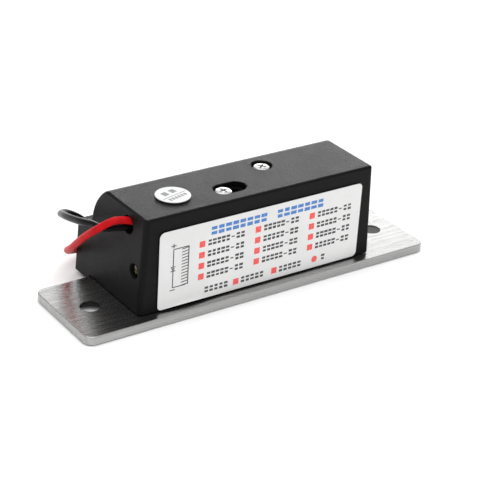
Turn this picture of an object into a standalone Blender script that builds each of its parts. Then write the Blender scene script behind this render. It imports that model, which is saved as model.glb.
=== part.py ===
"""Electric door strike: faceplate, housing, hinged keeper, solenoid lock and two flying leads.

It lies on the front of its faceplate, as on a bench: +X along the faceplate, +Y towards the
side where the keeper swings out, +Z from the faceplate into the housing. Sizes are in
millimetres and are turned into metres where each object is made.
"""

import math

import bmesh
import bpy
from mathutils import Matrix, Vector

MM = 0.001
NAME = "electric_door_strike"
GAP = 0.3  # clearance kept between pieces that touch on the real object
ROUND = 32  # sides of a round piece

# Faceplate
PLATE_LENGTH, PLATE_THICK = 124.0, 2.8
PLATE_NEAR, PLATE_FAR = -20.65, 11.35
PLATE_CORNER = 3.0
MOUNT_X, MOUNT_Y, MOUNT_R = 52.4, -4.75, 2.9
CUTOUT_X, CUTOUT_NEAR = 17.6, -12.0

# Housing, a casting that stands on the faceplate and overhangs it on the keeper side
BODY_LEFT, BODY_RIGHT, BODY_TOP = -41.7, 39.8, 33.3
BODY_NEAR, BODY_FOOT = -17.05, PLATE_THICK + GAP
DRAFT = 0.05  # how far each end face leans out per millimetre below the top
ARC_Y, ARC_Z, ARC_R = -2.32, 20.4, 15.0  # the rounded back corner above the ledge
LEDGE_Z, LEDGE_FAR, LEDGE_FOOT = 18.2, 20.65, 1.1
WALL, ROOF = 2.0, 3.0
CAVITY_LEFT, CAVITY_RIGHT = -40.0, 38.0
POST_LEFT, POST_RIGHT, POST_TOP = -36.0, 34.0, 12.5  # solid corners that take the faceplate screws
POST_NEAR, POST_FAR = -9.3, 4.0
BOSS_TOP = 18.4  # the near left post is taller, for the set screw
POST_SCREWS = {
    "near_left": (-38.6, -12.2),
    "near_right": (36.4, -12.2),
    "far_left": (-38.6, 7.4),
    "far_right": (36.4, 7.4),
}

# Screws in the back of the housing
HEAD_R, HEAD_TOP, HEAD_THICK = 2.65, 33.0, 1.1
SHANK_R, SEAT_R, SEAT_DEPTH = 1.5, 3.2, 1.7
CLEAR_R = SHANK_R + GAP
SLOT_X, SLOT_Y, SLOT_TRAVEL = -10.6, -9.45, 4.5
LEVER_X, LEVER_Y = 9.3, -0.7

# Openings in the left end of the housing
LEAD_HOLE_Y, LEAD_HOLE_Z, LEAD_HOLE_R = -7.75, 28.4, 2.7
SET_Y, SET_Z, SET_R = -12.45, 15.6, 2.2

# Keeper and its pin
PIN_Y, PIN_Z, PIN_R, PIN_END = 15.05, 10.6, 1.5, 21.4
KEEPER_X, KEEPER_R = 17.2, 5.3
LIP_NEAR, LIP_FRONT, LIP_CHAMFER = 8.2, 0.5, 1.5
OPENING_X, OPENING_TOP, CHEEK_OUT = 17.8, 16.2, 20.0
TAIL_Y, TAIL_THICK, TAIL_WIDE, TAIL_TOP = 7.9, 2.4, 2.4, 20.2

# Locking lever, shown let go: it is turned back by LEVER_SWING from where it blocks the tail
LEVER_LOW, LEVER_HIGH = 18.2, 20.6
LEVER_SWING = 28.0
HUB_R, LOCK_ARM, LOCK_HALF = 3.2, 8.2, 1.6
DRIVE_ARM, DRIVE_R, LINK_R = 7.0, 2.6, 1.0

# Solenoid, with its axis along X
COIL_Y, COIL_Z = -7.6, 22.5
YOKE_LEFT, YOKE_RIGHT, YOKE_LOW, YOKE_HIGH = -35.0, -7.5, 15.0, 30.0
YOKE_HALF, STRAP = 7.0, 1.4
PLUNGER_R, PLUNGER_IN, PLUNGER_OUT = 3.0, -18.3, 5.5
TONGUE_END, TONGUE_HALF, TONGUE_LOW, TONGUE_HIGH = 13.4, 2.4, 21.2, 24.2

# Leads
LEAD_R, TINNED_R, TINNED_LONG = 1.1, 0.7, 6.0
LEAD_POINTS = 48
RED_ROUTE = [
    (-36.2, -8.8, 28.6), (-39.5, -8.4, 28.9), (-42.2, -7.9, 29.8), (-45.5, -7.3, 30.3),
    (-48.1, -6.5, 29.5), (-50.3, -4.5, 27.3), (-51.0, -0.1, 23.6), (-50.8, 5.3, 18.9),
    (-49.6, 11.4, 13.8), (-47.0, 18.4, 9.2), (-42.4, 24.2, 5.3), (-36.0, 28.0, 2.6),
    (-29.0, 29.6, 1.2), (-16.0, 29.9, 1.1), (0.0, 29.3, 1.1), (18.0, 29.8, 1.1),
    (34.0, 30.9, 1.1), (48.0, 30.2, 1.1),
]
BLACK_ROUTE = [
    (-36.2, -6.9, 26.9), (-39.4, -7.2, 27.0), (-42.5, -6.9, 27.3), (-45.1, -5.1, 26.9),
    (-46.9, -1.9, 25.8), (-47.2, 3.2, 24.8), (-47.5, 8.6, 23.2), (-47.0, 14.4, 21.3),
    (-46.0, 20.6, 19.2), (-44.4, 26.2, 17.1), (-42.4, 31.0, 14.9), (-38.9, 34.0, 13.1),
    (-34.8, 34.4, 10.6), (-30.6, 33.8, 7.0), (-26.4, 33.2, 3.4), (-21.0, 33.2, 1.5),
    (-10.0, 33.9, 1.1), (6.0, 33.3, 1.1), (22.0, 34.2, 1.1), (38.0, 35.2, 1.1),
    (49.0, 34.6, 1.1),
]

# Label and sticker
LABEL_X, LABEL_Z, LABEL_CORNER, PAPER = (-37.2, 36.2), (3.4, 28.5), 2.8, 0.2
STICKER_X, STICKER_Y, STICKER_R = -26.3, -6.55, 5.3

FINISHES = {  # colour, roughness, metallic
    "brushed_steel": ((0.62, 0.61, 0.60), 0.34, 1.0),
    "black_paint": ((0.018, 0.018, 0.019), 0.45, 0.0),
    "zinc": ((0.55, 0.55, 0.57), 0.40, 1.0),
    "screw_steel": ((0.72, 0.71, 0.69), 0.28, 1.0),
    "spring_steel": ((0.45, 0.45, 0.46), 0.30, 1.0),
    "dark_steel": ((0.20, 0.20, 0.21), 0.45, 1.0),
    "brass": ((0.75, 0.58, 0.30), 0.35, 1.0),
    "bobbin_nylon": ((0.85, 0.84, 0.78), 0.50, 0.0),
    "copper": ((0.75, 0.36, 0.20), 0.35, 1.0),
    "yellow_tape": ((0.85, 0.65, 0.10), 0.45, 0.0),
    "white_vinyl": ((0.80, 0.80, 0.79), 0.40, 0.0),
    "red_insulation": ((0.75, 0.02, 0.02), 0.40, 0.0),
    "black_insulation": ((0.02, 0.02, 0.02), 0.40, 0.0),
    "tinned_copper": ((0.80, 0.80, 0.80), 0.30, 1.0),
    "black_epoxy": ((0.03, 0.03, 0.03), 0.35, 0.0),
}


def clear_scene():
    for obj in list(bpy.data.objects):
        bpy.data.objects.remove(obj)


def collection(name):
    made = bpy.data.collections.new(name)
    bpy.context.scene.collection.children.link(made)
    return made


def finish(name):
    """The Principled material of one finish, made once."""
    if name in bpy.data.materials:
        return bpy.data.materials[name]
    colour, roughness, metallic = FINISHES[name]
    made = bpy.data.materials.new(name)
    made.use_nodes = True
    shader = made.node_tree.nodes["Principled BSDF"]
    shader.inputs["Base Color"].default_value = (*colour, 1.0)
    shader.inputs["Roughness"].default_value = roughness
    shader.inputs["Metallic"].default_value = metallic
    return made


def keep(obj, name, finish_name):
    """Names a finished piece, gives it its material and puts it with the parts."""
    obj.name = name
    obj.data.name = name
    obj.data.materials.clear()
    obj.data.materials.append(finish(finish_name))
    for owner in list(obj.users_collection):
        owner.objects.unlink(obj)
    bpy.data.collections[NAME].objects.link(obj)
    return obj


def as_cutter(obj):
    """Puts a shape that only cuts another out of sight."""
    for owner in list(obj.users_collection):
        owner.objects.unlink(obj)
    bpy.data.collections["cutters"].objects.link(obj)
    obj.hide_render = True
    obj.display_type = "WIRE"
    return obj


def from_bmesh(shape):
    data = bpy.data.meshes.new("shape")
    shape.to_mesh(data)
    shape.free()
    obj = bpy.data.objects.new("shape", data)
    bpy.context.scene.collection.objects.link(obj)
    return obj


def box(low, high):
    """A block between two corners."""
    shape = bmesh.new()
    bmesh.ops.create_cube(shape, size=1.0)
    size = [(b - a) * MM for a, b in zip(low, high)]
    bmesh.ops.scale(shape, vec=size, verts=shape.verts)
    obj = from_bmesh(shape)
    obj.location = [(a + b) / 2 * MM for a, b in zip(low, high)]
    return obj


def facing(start, end):
    """The turn and place that lay a shape's +Z along the way from start to end."""
    start, end = Vector(start) * MM, Vector(end) * MM
    turn = (end - start).to_track_quat("Z", "Y")
    return Matrix.Translation(start) @ turn.to_matrix().to_4x4()


def rod(start, end, radius, end_radius=None, sides=ROUND):
    """A cylinder or a cone between two points."""
    shape = bmesh.new()
    length = (Vector(end) - Vector(start)).length * MM
    far = radius if end_radius is None else end_radius
    bmesh.ops.create_cone(
        shape, cap_ends=True, segments=sides, radius1=radius * MM, radius2=far * MM, depth=length
    )
    bmesh.ops.translate(shape, vec=(0, 0, length / 2), verts=shape.verts)
    obj = from_bmesh(shape)
    obj.matrix_world = facing(start, end)
    return obj


def turned(profile, start, end, closed=False, sides=ROUND):
    """A turned piece: profile is (radius, distance along the way from start to end) pairs,
    running down the outer side, from the far end back to the start."""
    data = bpy.data.meshes.new("profile")
    points = [(r * MM, 0, h * MM) for r, h in profile]
    links = [(i, i + 1) for i in range(len(points) - 1)]
    if closed:
        links.append((len(points) - 1, 0))
    data.from_pydata(points, links, [])
    obj = bpy.data.objects.new("turned", data)
    bpy.context.scene.collection.objects.link(obj)
    screw = obj.modifiers.new("turn", "SCREW")
    screw.steps = screw.render_steps = sides
    screw.use_merge_vertices = True
    screw.merge_threshold = 0.00001
    obj.matrix_world = facing(start, end)
    return obj


def arc(centre, radius, start, end, steps):
    """Points on an arc, angles in degrees."""
    turns = [math.radians(start + (end - start) * i / steps) for i in range(steps + 1)]
    return [(centre[0] + radius * math.cos(t), centre[1] + radius * math.sin(t)) for t in turns]


def rounded(low, high, radius, steps=5):
    """A rectangle with round corners."""
    (x0, y0), (x1, y1) = low, high
    corners = [(x1 - radius, y1 - radius, 0), (x0 + radius, y1 - radius, 90),
               (x0 + radius, y0 + radius, 180), (x1 - radius, y0 + radius, 270)]
    return [p for x, y, turn in corners for p in arc((x, y), radius, turn, turn + 90, steps)]


def stadium(centre, radius, reach, steps=12):
    """A slot outline: two half circles, reach apart along X."""
    x, y = centre
    return arc((x + reach, y), radius, -90, 90, steps) + arc((x, y), radius, 90, 270, steps)


def flat(loops, low, high, along="Z"):
    """A flat outline, with any holes in it, made solid from low to high along an axis.
    The outline is drawn in X and Y, in Y and Z, or in X and Z."""
    curve = bpy.data.curves.new("outline", "CURVE")
    curve.dimensions = "2D"
    curve.fill_mode = "BOTH"
    curve.extrude = (high - low) / 2 * MM
    for loop in loops:
        line = curve.splines.new("POLY")
        line.points.add(len(loop) - 1)
        for point, (x, y) in zip(line.points, loop):
            point.co = (x * MM, y * MM, 0, 1)
        line.use_cyclic_u = True
    obj = bpy.data.objects.new("outline", curve)
    bpy.context.scene.collection.objects.link(obj)
    middle = (low + high) / 2 * MM
    axes = {
        "X": ((0, 1, 0), (0, 0, 1), (1, 0, 0)),
        "Y": ((1, 0, 0), (0, 0, 1), (0, -1, 0)),
        "Z": ((1, 0, 0), (0, 1, 0), (0, 0, 1)),
    }[along]
    turn = Matrix([[axes[column][row] for column in range(3)] for row in range(3)])
    place = Vector((0, 0, 0))
    place["XYZ".index(along)] = middle
    obj.matrix_world = Matrix.Translation(place) @ turn.to_4x4()
    return as_mesh(obj)


def as_mesh(obj):
    """The same shape as a mesh, with its caps welded on."""
    bpy.context.view_layer.update()
    data = bpy.data.meshes.new_from_object(obj.evaluated_get(bpy.context.evaluated_depsgraph_get()))
    shape = bmesh.new()
    shape.from_mesh(data)
    bmesh.ops.remove_doubles(shape, verts=shape.verts, dist=0.000001)
    shape.to_mesh(data)
    shape.free()
    made = bpy.data.objects.new("mesh", data)
    made.matrix_world = obj.matrix_world.copy()
    bpy.context.scene.collection.objects.link(made)
    bpy.data.objects.remove(obj)
    return made


def wire(points, radius, resolution=2):
    """A round wire through points, with closed ends."""
    curve = bpy.data.curves.new("wire", "CURVE")
    curve.dimensions = "3D"
    curve.bevel_depth = radius * MM
    curve.bevel_resolution = resolution
    curve.use_fill_caps = True
    line = curve.splines.new("POLY")
    line.points.add(len(points) - 1)
    for point, place in zip(line.points, points):
        point.co = (*[value * MM for value in place], 1)
    obj = bpy.data.objects.new("wire", curve)
    bpy.context.scene.collection.objects.link(obj)
    return obj


def combine(obj, other, how="DIFFERENCE"):
    """Cuts the second shape out of the first, or joins it on."""
    step = obj.modifiers.new(how.lower(), "BOOLEAN")
    step.operation = how
    step.object = as_cutter(other)
    step.solver = "EXACT"
    return obj


def soften(obj, width, segments=2, angle=40):
    step = obj.modifiers.new("soften", "BEVEL")
    step.width = width * MM
    step.segments = segments
    step.limit_method = "ANGLE"
    step.angle_limit = math.radians(angle)
    return obj


def cross_recess(place, direction, radius, depth):
    """The two crossing wedges of a cross-head recess, pointing into the head."""
    x, y, z = place
    wings = []
    for turn in (0, 90):
        blade = rod((0, 0, 0), (0, 0, depth + 1), radius * 0.55, radius * 1.25, sides=4)
        blade.matrix_world = (
            Matrix.Translation(Vector((x, y, z - direction * depth)) * MM)
            @ Matrix.Rotation(0 if direction > 0 else math.pi, 4, "X")
            @ Matrix.Rotation(math.radians(turn), 4, "Z")
            @ Matrix.Diagonal((1.0, 0.28, 1.0, 1.0))
        )
        wings.append(blade)
    return wings


# ---------------------------------------------------------------- faceplate

def faceplate_outline():
    """The plate with its latch cut-out, which is open on the keeper side."""
    half = PLATE_LENGTH / 2
    r = PLATE_CORNER
    far, near = PLATE_FAR, PLATE_NEAR
    inner = 1.2
    outline = arc((half - r, near + r), r, -90, 0, 5) + arc((half - r, far - r), r, 0, 90, 5)
    outline += [(CUTOUT_X, far)]
    outline += arc((CUTOUT_X - inner, CUTOUT_NEAR + inner), inner, 360, 270, 3)
    outline += arc((inner - CUTOUT_X, CUTOUT_NEAR + inner), inner, 270, 180, 3)
    outline += [(-CUTOUT_X, far)]
    outline += arc((r - half, far - r), r, 90, 180, 5) + arc((r - half, near + r), r, 180, 270, 5)
    return outline


def faceplate():
    plate = soften(flat([faceplate_outline()], 0, PLATE_THICK), 0.35)
    for x in (-MOUNT_X, MOUNT_X):
        combine(plate, rod((x, MOUNT_Y, -1), (x, MOUNT_Y, 4), MOUNT_R))
        combine(plate, rod((x, MOUNT_Y, -0.2), (x, MOUNT_Y, 1.9), MOUNT_R + 2.2, MOUNT_R - 0.1))
    for x, y in POST_SCREWS.values():
        combine(plate, rod((x, y, -1), (x, y, 4), CLEAR_R, sides=16))
        combine(plate, rod((x, y, -0.2), (x, y, 1.7), 3.4, CLEAR_R - 0.1, sides=24))
    return keep(plate, "faceplate", "brushed_steel")


def faceplate_screw(corner):
    """A countersunk cross-head screw, up through the plate into a corner post."""
    x, y = POST_SCREWS[corner]
    profile = [(0, 9.5), (SHANK_R, 9.5), (SHANK_R, 1.7), (2.8, 0.35), (2.8, 0.15), (0, 0.15)]
    screw = turned(profile, (x, y, 0), (x, y, 1), sides=24)
    for wing in cross_recess((x, y, 0.15), -1, 1.4, 1.0):
        combine(screw, wing)
    return keep(screw, "faceplate_screw_" + corner, "screw_steel")


# ---------------------------------------------------------------- housing

def back_corner(radius, low, high, steps):
    """The housing's rounded back corner, from height high down to height low."""
    start = math.degrees(math.asin((high - ARC_Z) / radius))
    end = math.degrees(math.asin((low - ARC_Z) / radius))
    return arc((ARC_Y, ARC_Z), radius, start, end, steps)


def housing_outline():
    outline = [(PLATE_FAR + GAP, BODY_FOOT), (BODY_NEAR, BODY_FOOT), (BODY_NEAR, BODY_TOP)]
    outline += back_corner(ARC_R, ARC_Z, BODY_TOP, 10)
    outline += [(ARC_Y + ARC_R, LEDGE_Z), (LEDGE_FAR, LEDGE_Z)]
    outline += [(LEDGE_FAR, LEDGE_FOOT), (PLATE_FAR + GAP, LEDGE_FOOT)]
    return outline


def lean_ends(obj):
    """Leans both end faces outwards towards the faceplate, as a casting's draft does."""
    for vertex in obj.data.vertices:
        place = obj.matrix_world @ vertex.co
        lean = (BODY_TOP * MM - place.z) * DRAFT
        place.x += lean if place.x > 0 else -lean
        vertex.co = obj.matrix_world.inverted() @ place


def round_housing(obj):
    """Edge rounding: wide on the two near upright edges, narrow elsewhere, none at the foot."""
    weights = obj.data.attributes.new("bevel_weight_edge", "FLOAT", "EDGE")
    wide, narrow = 2.4, 0.9
    foot = (BODY_FOOT + 0.1) * MM
    for edge in obj.data.edges:
        a, b = (obj.matrix_world @ obj.data.vertices[i].co for i in edge.vertices)
        upright = abs(a.y - b.y) < 0.0001 and abs(a.z - b.z) > 0.002
        near = abs(a.y - BODY_NEAR * MM) < 0.0001
        along = abs(a.x - b.x) > 0.01
        inside = abs(a.y - (ARC_Y + ARC_R) * MM) < 0.0001 and a.z < (LEDGE_Z + 0.1) * MM
        if max(a.z, b.z) < foot:
            continue
        if upright and near:
            weights.data[edge.index].value = 1.0
        elif along and (near or a.z > (BODY_TOP - 0.1) * MM or a.y > (LEDGE_FAR - 0.1) * MM):
            weights.data[edge.index].value = narrow / wide
        elif not along and not inside:
            weights.data[edge.index].value = narrow / wide
    step = obj.modifiers.new("soften", "BEVEL")
    step.width = wide * MM
    step.segments = 4
    step.limit_method = "WEIGHT"


def cavity(left, right, near, low):
    """A hollow of the housing: flat ceiling, and the back corner's curve one wall in."""
    ceiling = BODY_TOP - ROOF
    outline = [(near, low), (near, ceiling)]
    outline += back_corner(ARC_R - WALL, ARC_Z, ceiling, 8)
    outline += [(ARC_Y + ARC_R - WALL, low)]
    return flat([outline[::-1]], left, right, "X")


def hollow_housing(shell):
    inner_near, inner_far = BODY_NEAR + WALL, ARC_Y + ARC_R - WALL
    combine(shell, cavity(POST_LEFT, CAVITY_RIGHT, inner_near, POST_TOP))
    combine(shell, cavity(CAVITY_LEFT, POST_LEFT + 0.5, POST_NEAR, POST_TOP))
    combine(shell, cavity(CAVITY_LEFT, POST_LEFT + 0.5, inner_near, BOSS_TOP))
    combine(shell, box((POST_LEFT, inner_near, 0), (POST_RIGHT, inner_far, POST_TOP + 0.5)))
    combine(shell, box((CAVITY_LEFT, POST_NEAR, 0), (CAVITY_RIGHT, POST_FAR, POST_TOP + 0.5)))
    floor = LEDGE_FOOT + WALL
    for left, right in ((POST_LEFT, -CHEEK_OUT), (CHEEK_OUT, POST_RIGHT)):
        combine(shell, box((left, inner_far - 1, floor), (right, LEDGE_FAR - WALL, OPENING_TOP)))
    combine(shell, box((-OPENING_X, 4, -1), (OPENING_X, LEDGE_FAR + 2, OPENING_TOP)))


def drill_housing(shell):
    seat = BODY_TOP - SEAT_DEPTH
    for radius, low in ((SEAT_R, seat), (CLEAR_R, seat - 5)):
        slot = stadium((SLOT_X, SLOT_Y), radius, SLOT_TRAVEL)
        combine(shell, flat([slot], low, BODY_TOP + 2))
        combine(shell, rod((LEVER_X, LEVER_Y, low), (LEVER_X, LEVER_Y, BODY_TOP + 2), radius))
    combine(shell, rod((-48, LEAD_HOLE_Y, LEAD_HOLE_Z), (-35, LEAD_HOLE_Y, LEAD_HOLE_Z), LEAD_HOLE_R))
    combine(shell, rod((-48, SET_Y, SET_Z), (-34, SET_Y, SET_Z), SET_R))
    combine(shell, rod((-CHEEK_OUT - 2, PIN_Y, PIN_Z), (CHEEK_OUT + 2, PIN_Y, PIN_Z), PIN_R + GAP))
    for x, y in POST_SCREWS.values():
        combine(shell, rod((x, y, 0), (x, y, 11), CLEAR_R, sides=16))


def housing():
    shell = flat([housing_outline()[::-1]], BODY_LEFT, BODY_RIGHT, "X")
    lean_ends(shell)
    round_housing(shell)
    hollow_housing(shell)
    drill_housing(shell)
    return keep(shell, "housing", "black_paint")


# ---------------------------------------------------------------- keeper

def keeper_outline():
    """The lip that holds the latch, and the barrel around the pin."""
    outline = [(LIP_NEAR, LIP_FRONT + LIP_CHAMFER), (LIP_NEAR + LIP_CHAMFER, LIP_FRONT)]
    outline += [(PIN_Y + KEEPER_R - 0.6, LIP_FRONT), (PIN_Y + KEEPER_R, LIP_FRONT + 0.6)]
    outline += arc((PIN_Y, PIN_Z), KEEPER_R, 0, 180, 16)
    outline += [(LIP_NEAR, PIN_Z - 2.1)]
    return outline


def keeper():
    """It turns on its pin, so its origin is on the pin's axis."""
    block = flat([keeper_outline()], -KEEPER_X, KEEPER_X, "X")
    left, right = LEVER_X - TAIL_WIDE / 2, LEVER_X + TAIL_WIDE / 2
    combine(block, box((left, TAIL_Y, PIN_Z - 3.6), (right, PIN_Y - 1, PIN_Z + 3.9)), "UNION")
    combine(block, box((left, TAIL_Y, PIN_Z), (right, TAIL_Y + TAIL_THICK, TAIL_TOP)), "UNION")
    bore = PIN_R + GAP - 0.05
    combine(block, rod((-KEEPER_X - 1, PIN_Y, PIN_Z), (KEEPER_X + 1, PIN_Y, PIN_Z), bore))
    seat = -KEEPER_X + 4.2
    combine(block, rod((-KEEPER_X - 1, PIN_Y, PIN_Z), (seat, PIN_Y, PIN_Z), 3.7))
    combine(block, box((-KEEPER_X - 1, PIN_Y - 7, PIN_Z + 0.3), (seat, PIN_Y + 1.55, PIN_Z + 7)))
    combine(block, box((-KEEPER_X - 1, PIN_Y + 1.9, 5), (-15.6, PIN_Y + 3.5, PIN_Z)))
    block = as_mesh(block)
    origin = Matrix.Translation(Vector((0, PIN_Y, PIN_Z)) * MM)
    block.data.transform(origin.inverted() @ block.matrix_world)
    block.matrix_world = origin
    return keep(block, "keeper", "zinc")


def keeper_pin():
    ends = [(0, 2 * PIN_END), (1.2, 2 * PIN_END), (PIN_R, 2 * PIN_END - 0.4), (PIN_R, 0.4)]
    pin = turned(ends + [(1.2, 0), (0, 0)], (-PIN_END, PIN_Y, PIN_Z), (PIN_END, PIN_Y, PIN_Z))
    return keep(pin, "keeper_pin", "screw_steel")


def snap_ring(name, centre, low, high, inner, outer, opening=60):
    """A ring with an opening in its side, snapped onto a shaft that runs along X."""
    half = opening / 2
    loop = arc(centre, outer, half, 360 - half, 20) + arc(centre, inner, 360 - half, half, 20)
    return keep(flat([loop], low, high, "X"), name, "spring_steel")


def keeper_clips():
    for side, low in (("left", -CHEEK_OUT - 1.0), ("right", CHEEK_OUT + 0.4)):
        snap_ring("keeper_clip_" + side, (PIN_Y, PIN_Z), low, low + 0.6, PIN_R + 0.25, 3.2)


def keeper_spring():
    """A torsion spring round the pin: one leg up to the ledge, one down in the keeper."""
    radius, strand, turns, per_turn = 2.7, 0.4, 3.5, 14
    left = -KEEPER_X + 0.6
    pitch = 0.92
    coil = []
    for i in range(int(turns * per_turn) + 1):
        angle = math.pi - 2 * math.pi * i / per_turn
        x = left + pitch * turns - pitch * i / per_turn
        coil.append((x, PIN_Y + radius * math.cos(angle), PIN_Z + radius * math.sin(angle)))
    upper = [(coil[0][0], coil[0][1], OPENING_TOP - 0.75), (coil[0][0], coil[0][1], PIN_Z + 2.6)]
    lower = [(coil[-1][0], coil[-1][1], PIN_Z - 2.6), (coil[-1][0], coil[-1][1], 5.8)]
    return keep(wire(upper + coil[::-1][::-1] + lower, strand, 1), "keeper_spring", "spring_steel")


# ---------------------------------------------------------------- lock

def mechanism_cover():
    """A folded tray that closes the latch pocket off from the lock above it."""
    half, thick, top = 19.2, 1.0, 14.0
    near, far = CUTOUT_NEAR - thick, 6.0
    tray = box((-half, near, BODY_FOOT), (half, far, top))
    combine(tray, box((thick - half, near + thick, 0), (half - thick, far + 2, top - thick)))
    combine(tray, box((LEVER_X - 2.1, 2.6, top - 3), (LEVER_X + 2.1, far + 2, top + 2)))
    return keep(tray, "mechanism_cover", "dark_steel")


def polar(radius, angle):
    return radius * math.cos(math.radians(angle)), radius * math.sin(math.radians(angle))


def locking_lever():
    """A flat two-armed lever. Its origin is on its pivot, and it is drawn as it stands when
    locked, then turned back."""
    drive = 270 - LEVER_SWING / 2
    side = math.degrees(math.asin(DRIVE_R / HUB_R))
    shoulder = math.sqrt(HUB_R**2 - LOCK_HALF**2)
    tip = arc((LOCK_HALF - 0.5, LOCK_ARM - 0.5), 0.5, 0, 90, 3)
    tip += arc((0.5 - LOCK_HALF, LOCK_ARM - 0.5), 0.5, 90, 180, 3)
    outline = [(LOCK_HALF, shoulder)] + tip + arc((0, 0), HUB_R, 120, drive - side, 8)
    outline += arc(polar(DRIVE_ARM, drive), DRIVE_R, drive - 90, drive + 90, 10)
    outline += arc((0, 0), HUB_R, drive + side, 419, 8)
    pivot = arc((0, 0), CLEAR_R, 0, 345, 23)
    inner = [polar(DRIVE_ARM - 0.25, drive), polar(DRIVE_ARM + 0.25, drive)]
    link = arc(inner[1], LINK_R + GAP, drive - 90, drive + 90, 8)
    link += arc(inner[0], LINK_R + GAP, drive + 90, drive + 270, 8)
    lever = flat([outline, pivot, link], LEVER_LOW, LEVER_HIGH)
    lever.data.transform(Matrix.Translation((0, 0, lever.matrix_world.translation.z)))
    lever.location = Vector((LEVER_X, LEVER_Y, 0)) * MM
    lever.rotation_euler.z = math.radians(LEVER_SWING)
    return keep(lever, "locking_lever", "dark_steel")


def ring(name, finish_name, start, end, inner, outer, sides=ROUND):
    """A plain tube or washer between two points."""
    length = (Vector(end) - Vector(start)).length
    profile = [(outer, length), (outer, 0), (inner, 0), (inner, length)]
    return keep(turned(profile, start, end, True, sides), name, finish_name)


def on_pivot(height):
    return LEVER_X, LEVER_Y, height


def lever_stack():
    """What the pivot screw holds: a bush above the lever, a washer and a nut below it."""
    ring("lever_bush", "brass", on_pivot(LEVER_HIGH + GAP), on_pivot(BODY_TOP - ROOF - GAP), 1.8, 2.6)
    ring("lever_washer", "spring_steel", on_pivot(17.4), on_pivot(LEVER_LOW - GAP), 1.8, 3.0)
    nut = rod(on_pivot(15.1), on_pivot(17.1), 3.15, sides=6)
    combine(nut, rod(on_pivot(14), on_pivot(18), 1.8))
    keep(nut, "lever_lock_nut", "screw_steel")


def back_screw(name, x, y, tip):
    """A cross-head screw in the back of the housing, its head just below the surface."""
    head = HEAD_TOP - tip
    profile = [(0, head), (HEAD_R - 0.3, head), (HEAD_R, head - 0.25), (HEAD_R, head - HEAD_THICK)]
    profile += [(SHANK_R, head - HEAD_THICK), (SHANK_R, 0.3), (SHANK_R - 0.3, 0), (0, 0)]
    screw = turned(profile, (x, y, tip), (x, y, HEAD_TOP))
    for wing in cross_recess((x, y, HEAD_TOP), 1, 1.35, 0.9):
        combine(screw, wing)
    return keep(screw, name, "screw_steel")


def end_set_screw():
    """A slotted set screw through the left end, which backs the solenoid up."""
    start, end = (YOKE_LEFT - GAP, SET_Y, SET_Z), (-41.4, SET_Y, SET_Z)
    length, radius = start[0] - end[0], SET_R - GAP
    profile = [(0, length), (radius - 0.3, length), (radius, length - 0.3), (radius, 0.5)]
    screw = turned(profile + [(radius - 0.5, 0), (0, 0)], start, end, sides=24)
    combine(screw, box((end[0] - 1, SET_Y - 3, SET_Z - 0.3), (end[0] + 0.9, SET_Y + 3, SET_Z + 0.3)))
    return keep(screw, "end_set_screw", "brass")


# ---------------------------------------------------------------- solenoid

def on_coil(x):
    return x, COIL_Y, COIL_Z


def solenoid_yoke():
    """A bent steel strap: back cheek, roof and front cheek."""
    left, right, low, high = YOKE_LEFT, YOKE_RIGHT, YOKE_LOW, YOKE_HIGH
    outer = [(left, low), (left + STRAP, low), (left + STRAP, high - STRAP)]
    outer += [(right - STRAP, high - STRAP), (right - STRAP, low), (right, low)]
    outer += [(right, high), (left, high)]
    yoke = soften(flat([outer], COIL_Y - YOKE_HALF, COIL_Y + YOKE_HALF, "Y"), 0.3, 1)
    combine(yoke, rod(on_coil(left - 2), on_coil(right + 2), PLUNGER_R + GAP))
    combine(yoke, rod((SLOT_X, SLOT_Y, high - 3), (SLOT_X, SLOT_Y, high + 1), CLEAR_R))
    return keep(yoke, "solenoid_yoke", "spring_steel")


def solenoid_base_plate():
    plate = box(
        (YOKE_LEFT + STRAP + GAP, COIL_Y - YOKE_HALF, YOKE_LOW),
        (YOKE_RIGHT - STRAP - GAP, COIL_Y + YOKE_HALF, YOKE_LOW + STRAP),
    )
    return keep(soften(plate, 0.2, 1), "solenoid_base_plate", "spring_steel")


def solenoid_bobbin():
    left, right = YOKE_LEFT + STRAP + GAP, YOKE_RIGHT - STRAP - GAP
    length, flange, tube, bore, thick = right - left, 5.8, 4.1, PLUNGER_R + 0.35, 1.2
    profile = [(flange, length), (flange, length - thick), (tube, length - thick), (tube, thick)]
    profile += [(flange, thick), (flange, 0), (bore, 0), (bore, length)]
    spool = turned(profile, on_coil(left), on_coil(right), True)
    return keep(spool, "solenoid_bobbin", "bobbin_nylon")


def windings():
    left, right = YOKE_LEFT + STRAP + 1.8, YOKE_RIGHT - STRAP - 1.8
    ring("coil_winding", "copper", on_coil(left), on_coil(right), 4.4, 5.05)
    ring("winding_tape", "yellow_tape", on_coil(left), on_coil(right), 5.3, 5.65)


def pole_piece():
    length = 13.6
    profile = [(0, length), (PLUNGER_R - 0.2, length), (PLUNGER_R, length - 0.2), (PLUNGER_R, 0.3)]
    core = turned(profile + [(PLUNGER_R - 0.3, 0), (0, 0)], on_coil(-35.6), on_coil(-35.6 + length))
    return keep(core, "pole_piece", "spring_steel")


def plunger():
    """A round core that ends in a flat tongue over the lever. It slides along X."""
    length = PLUNGER_OUT - PLUNGER_IN
    profile = [(0, length), (PLUNGER_R, length), (PLUNGER_R, 0.3), (PLUNGER_R - 0.3, 0), (0, 0)]
    core = turned(profile, on_coil(PLUNGER_IN), on_coil(PLUNGER_OUT))
    tongue = box(
        (PLUNGER_OUT - 1, COIL_Y - TONGUE_HALF, TONGUE_LOW),
        (TONGUE_END, COIL_Y + TONGUE_HALF, TONGUE_HIGH),
    )
    combine(core, tongue, "UNION")
    x, y = link_place()
    combine(core, rod((x, y, TONGUE_LOW - 1), (x, y, TONGUE_HIGH + 1), LINK_R + GAP, sides=20))
    return keep(core, "plunger", "screw_steel")


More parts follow.
